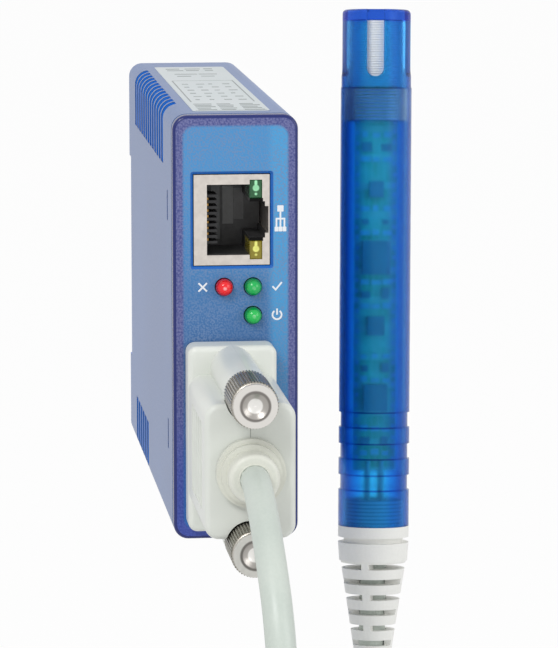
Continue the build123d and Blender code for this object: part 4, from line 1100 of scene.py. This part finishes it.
# Head and cut tail of the tie, on the outer side of the coil: half sizes and height, and rise over the band
TIE_HEAD = (2.9, 3.4, 4.2)
TIE_HEAD_RISE = -0.7
TIE_TAIL = (0.5, 2.3, 8.0)
TIE_TAIL_RISE = 2.6
TIE_CORNER = 0.4
highest = max(tied_turns, key=lambda point: point.y) / MM
tie_top = highest.y + TIE_SLACK + TIE_BAND
for tie_name, (half_across, half_along, tall), rise in (
    ("tie_head", TIE_HEAD, TIE_HEAD_RISE),
    ("tie_tail", TIE_TAIL, TIE_TAIL_RISE),
):
    outline = rounded_outline(half_across, half_along, TIE_CORNER)
    place = facing(right, rearward, (highest.x, COIL_Y, tie_top + rise))
    laid_film(tie_name, [outline], tall, place, tie_white)

# Probe: woven filter, thread inside the cap's spigot and the small parts of its board
FILTER_LENGTH = 12.5
WEAVE_START = 0.4
WEAVE_PROUD = 0.02
WEAVE_WIRE = 0.1
MESH_PITCH = 0.46
THREAD_COUNT = 10
THREAD_PITCH = 0.6
THREAD_DEPTH = 5.9
THREAD_RADIUS = 4.06
THREAD_WIRE = 0.23
across_ring = facing(probe_across, -probe_front, (0, 0, 0)).to_3x3()


def along_probe(height):
    """Place on the probe's axis whose Z runs along it."""
    return Matrix.Translation((PROBE_BASE + probe_axis * height) * MM) @ across_ring.to_4x4()


grown(
    "filter_weave", ring_stack, along_probe(PROBE_TUBE_LENGTH + WEAVE_START), "filter",
    count=int(FILTER_LENGTH / MESH_PITCH), pitch=MESH_PITCH * MM,
    ring_radius=(FILTER_RADIUS + WEAVE_PROUD) * MM, wire_radius=WEAVE_WIRE * MM, material=filter_white,
)
# The thread's rings are pale blue: painted light, for light that does not reach them inside the clear shell
grown(
    "cap_thread", ring_stack, along_probe(PROBE_TUBE_LENGTH - THREAD_DEPTH), "probe_shell",
    count=THREAD_COUNT, pitch=THREAD_PITCH * MM, ring_radius=THREAD_RADIUS * MM,
    wire_radius=THREAD_WIRE * MM, material=thread_blue,
)
BOARD_FACE = 0.6
PART_STRAY = (0.1, 0.2, 0.0)
RESISTOR_LEAST = (1.0, 0.7, 0.45)
RESISTOR_LARGEST = (1.9, 1.2, 0.45)
# Each kind of part: middle height, columns, rows, field, least and largest size, seed, finish, slot
probe_parts = (
    ("upper_resistors", 46.5, 3, 5, (4.2, 56.0), RESISTOR_LEAST, RESISTOR_LARGEST, 4, part_pale, "filter"),
    ("lower_resistors", 41.9, 3, 5, (4.2, 56.0), RESISTOR_LEAST, RESISTOR_LARGEST, 7, part_pale, "filter"),
    ("probe_parts", 44.2, 2, 5, (3.8, 56.0), (1.0, 0.9, 0.7), (2.0, 2.2, 0.7), 9, probe_grey, "chips"),
    ("probe_pads", 45.0, 2, 33, (7.0, 64.0), (0.5, 0.7, 0.06), (0.7, 0.9, 0.06), 6, part_pale, "filter"),
)
for part_name, height, columns, rows, field, smallest, largest, seed, finish, slot_name in probe_parts:
    level = PROBE_BASE + probe_axis * height + probe_front * (BOARD_FACE + largest[2] / 2)
    grown(
        part_name, block_rows, facing(probe_across, probe_axis, level), slot_name,
        columns=columns, rows=rows, field=sized(*field, 0.0), smallest=sized(*smallest),
        largest=sized(*largest), stray=sized(*PART_STRAY), seed=seed, material=finish,
    )


# Surroundings: pale floor, white backdrop light and soft lamps, in metres
FLOOR_HALF = 9.0
FLOOR_GAP = 0.0005
LAMP_AIM = Vector((0.01, -0.06, 0.0))


def seen_directly(bench):
    """One for rays from the camera, from a reflection or through the clear probe, and else nought."""
    path = bench.node("ShaderNodeLightPath").outputs
    seen = bench.math("MAXIMUM", path["Is Camera Ray"], path["Is Glossy Ray"])
    return bench.math("MAXIMUM", seen, path["Is Transmission Ray"])


def make_floor():
    """Pale floor that shows white behind the object and keeps its shadow."""
    mesh = bpy.data.meshes.new("floor")
    level = cad_low[2] - FLOOR_GAP
    corners = [(x * FLOOR_HALF, y * FLOOR_HALF, level) for x, y in ((-1, -1), (1, -1), (1, 1), (-1, 1))]
    mesh.from_pydata(corners, [], [(0, 1, 2, 3)])
    floor = show("floor", mesh)
    material = bpy.data.materials.new("floor_white")
    bench = cleared(material)
    matt = bench.node("ShaderNodeBsdfDiffuse", {"Color": (0.86, 0.86, 0.86, 1.0)}).outputs[0]
    glow = bench.node("ShaderNodeEmission", {"Strength": 1.0}).outputs[0]
    share = bench.math("MULTIPLY", seen_directly(bench), 0.95)
    blend = bench.node("ShaderNodeMixShader", {0: share, 1: matt, 2: glow})
    bench.node("ShaderNodeOutputMaterial", {"Surface": blend.outputs[0]})
    mesh.materials.append(material)


def make_world():
    """Even white surroundings, white to the eye and in reflections."""
    scene.world = bpy.data.worlds.new("studio")
    bench = cleared(scene.world)
    strength = bench.ramp(seen_directly(bench), 0.0, 1.0, 0.62, 1.0)
    sky = bench.node("ShaderNodeBackground", {"Color": (1.0, 1.0, 1.0, 1.0), "Strength": strength})
    bench.node("ShaderNodeOutputWorld", {"Surface": sky.outputs[0]})


def aimed(name, data, place, aim):
    """A lamp or camera at a place, turned towards what it is aimed at."""
    holder = show(name, data)
    holder.location = place
    holder.rotation_euler = (aim - Vector(place)).to_track_quat("-Z", "Y").to_euler()
    return holder


def make_lamp_panel(name, place, side, power):
    """A soft square lamp that faces the object."""
    lamp = bpy.data.lights.new(name, "AREA")
    lamp.size = side
    lamp.energy = power
    aimed(name, lamp, place, LAMP_AIM)


make_floor()
make_world()
make_lamp_panel("key_lamp", (-0.55, -0.95, 0.85), 0.5, 6.5)
make_lamp_panel("fill_lamp", (0.85, -0.75, 0.35), 0.6, 2.5)

lens = bpy.data.cameras.new("photo_camera")
lens.lens = CAMERA_LENS
lens.sensor_width = CAMERA_SENSOR
scene.camera = aimed("photo_camera", lens, CAMERA_PLACE, CAMERA_AIM)
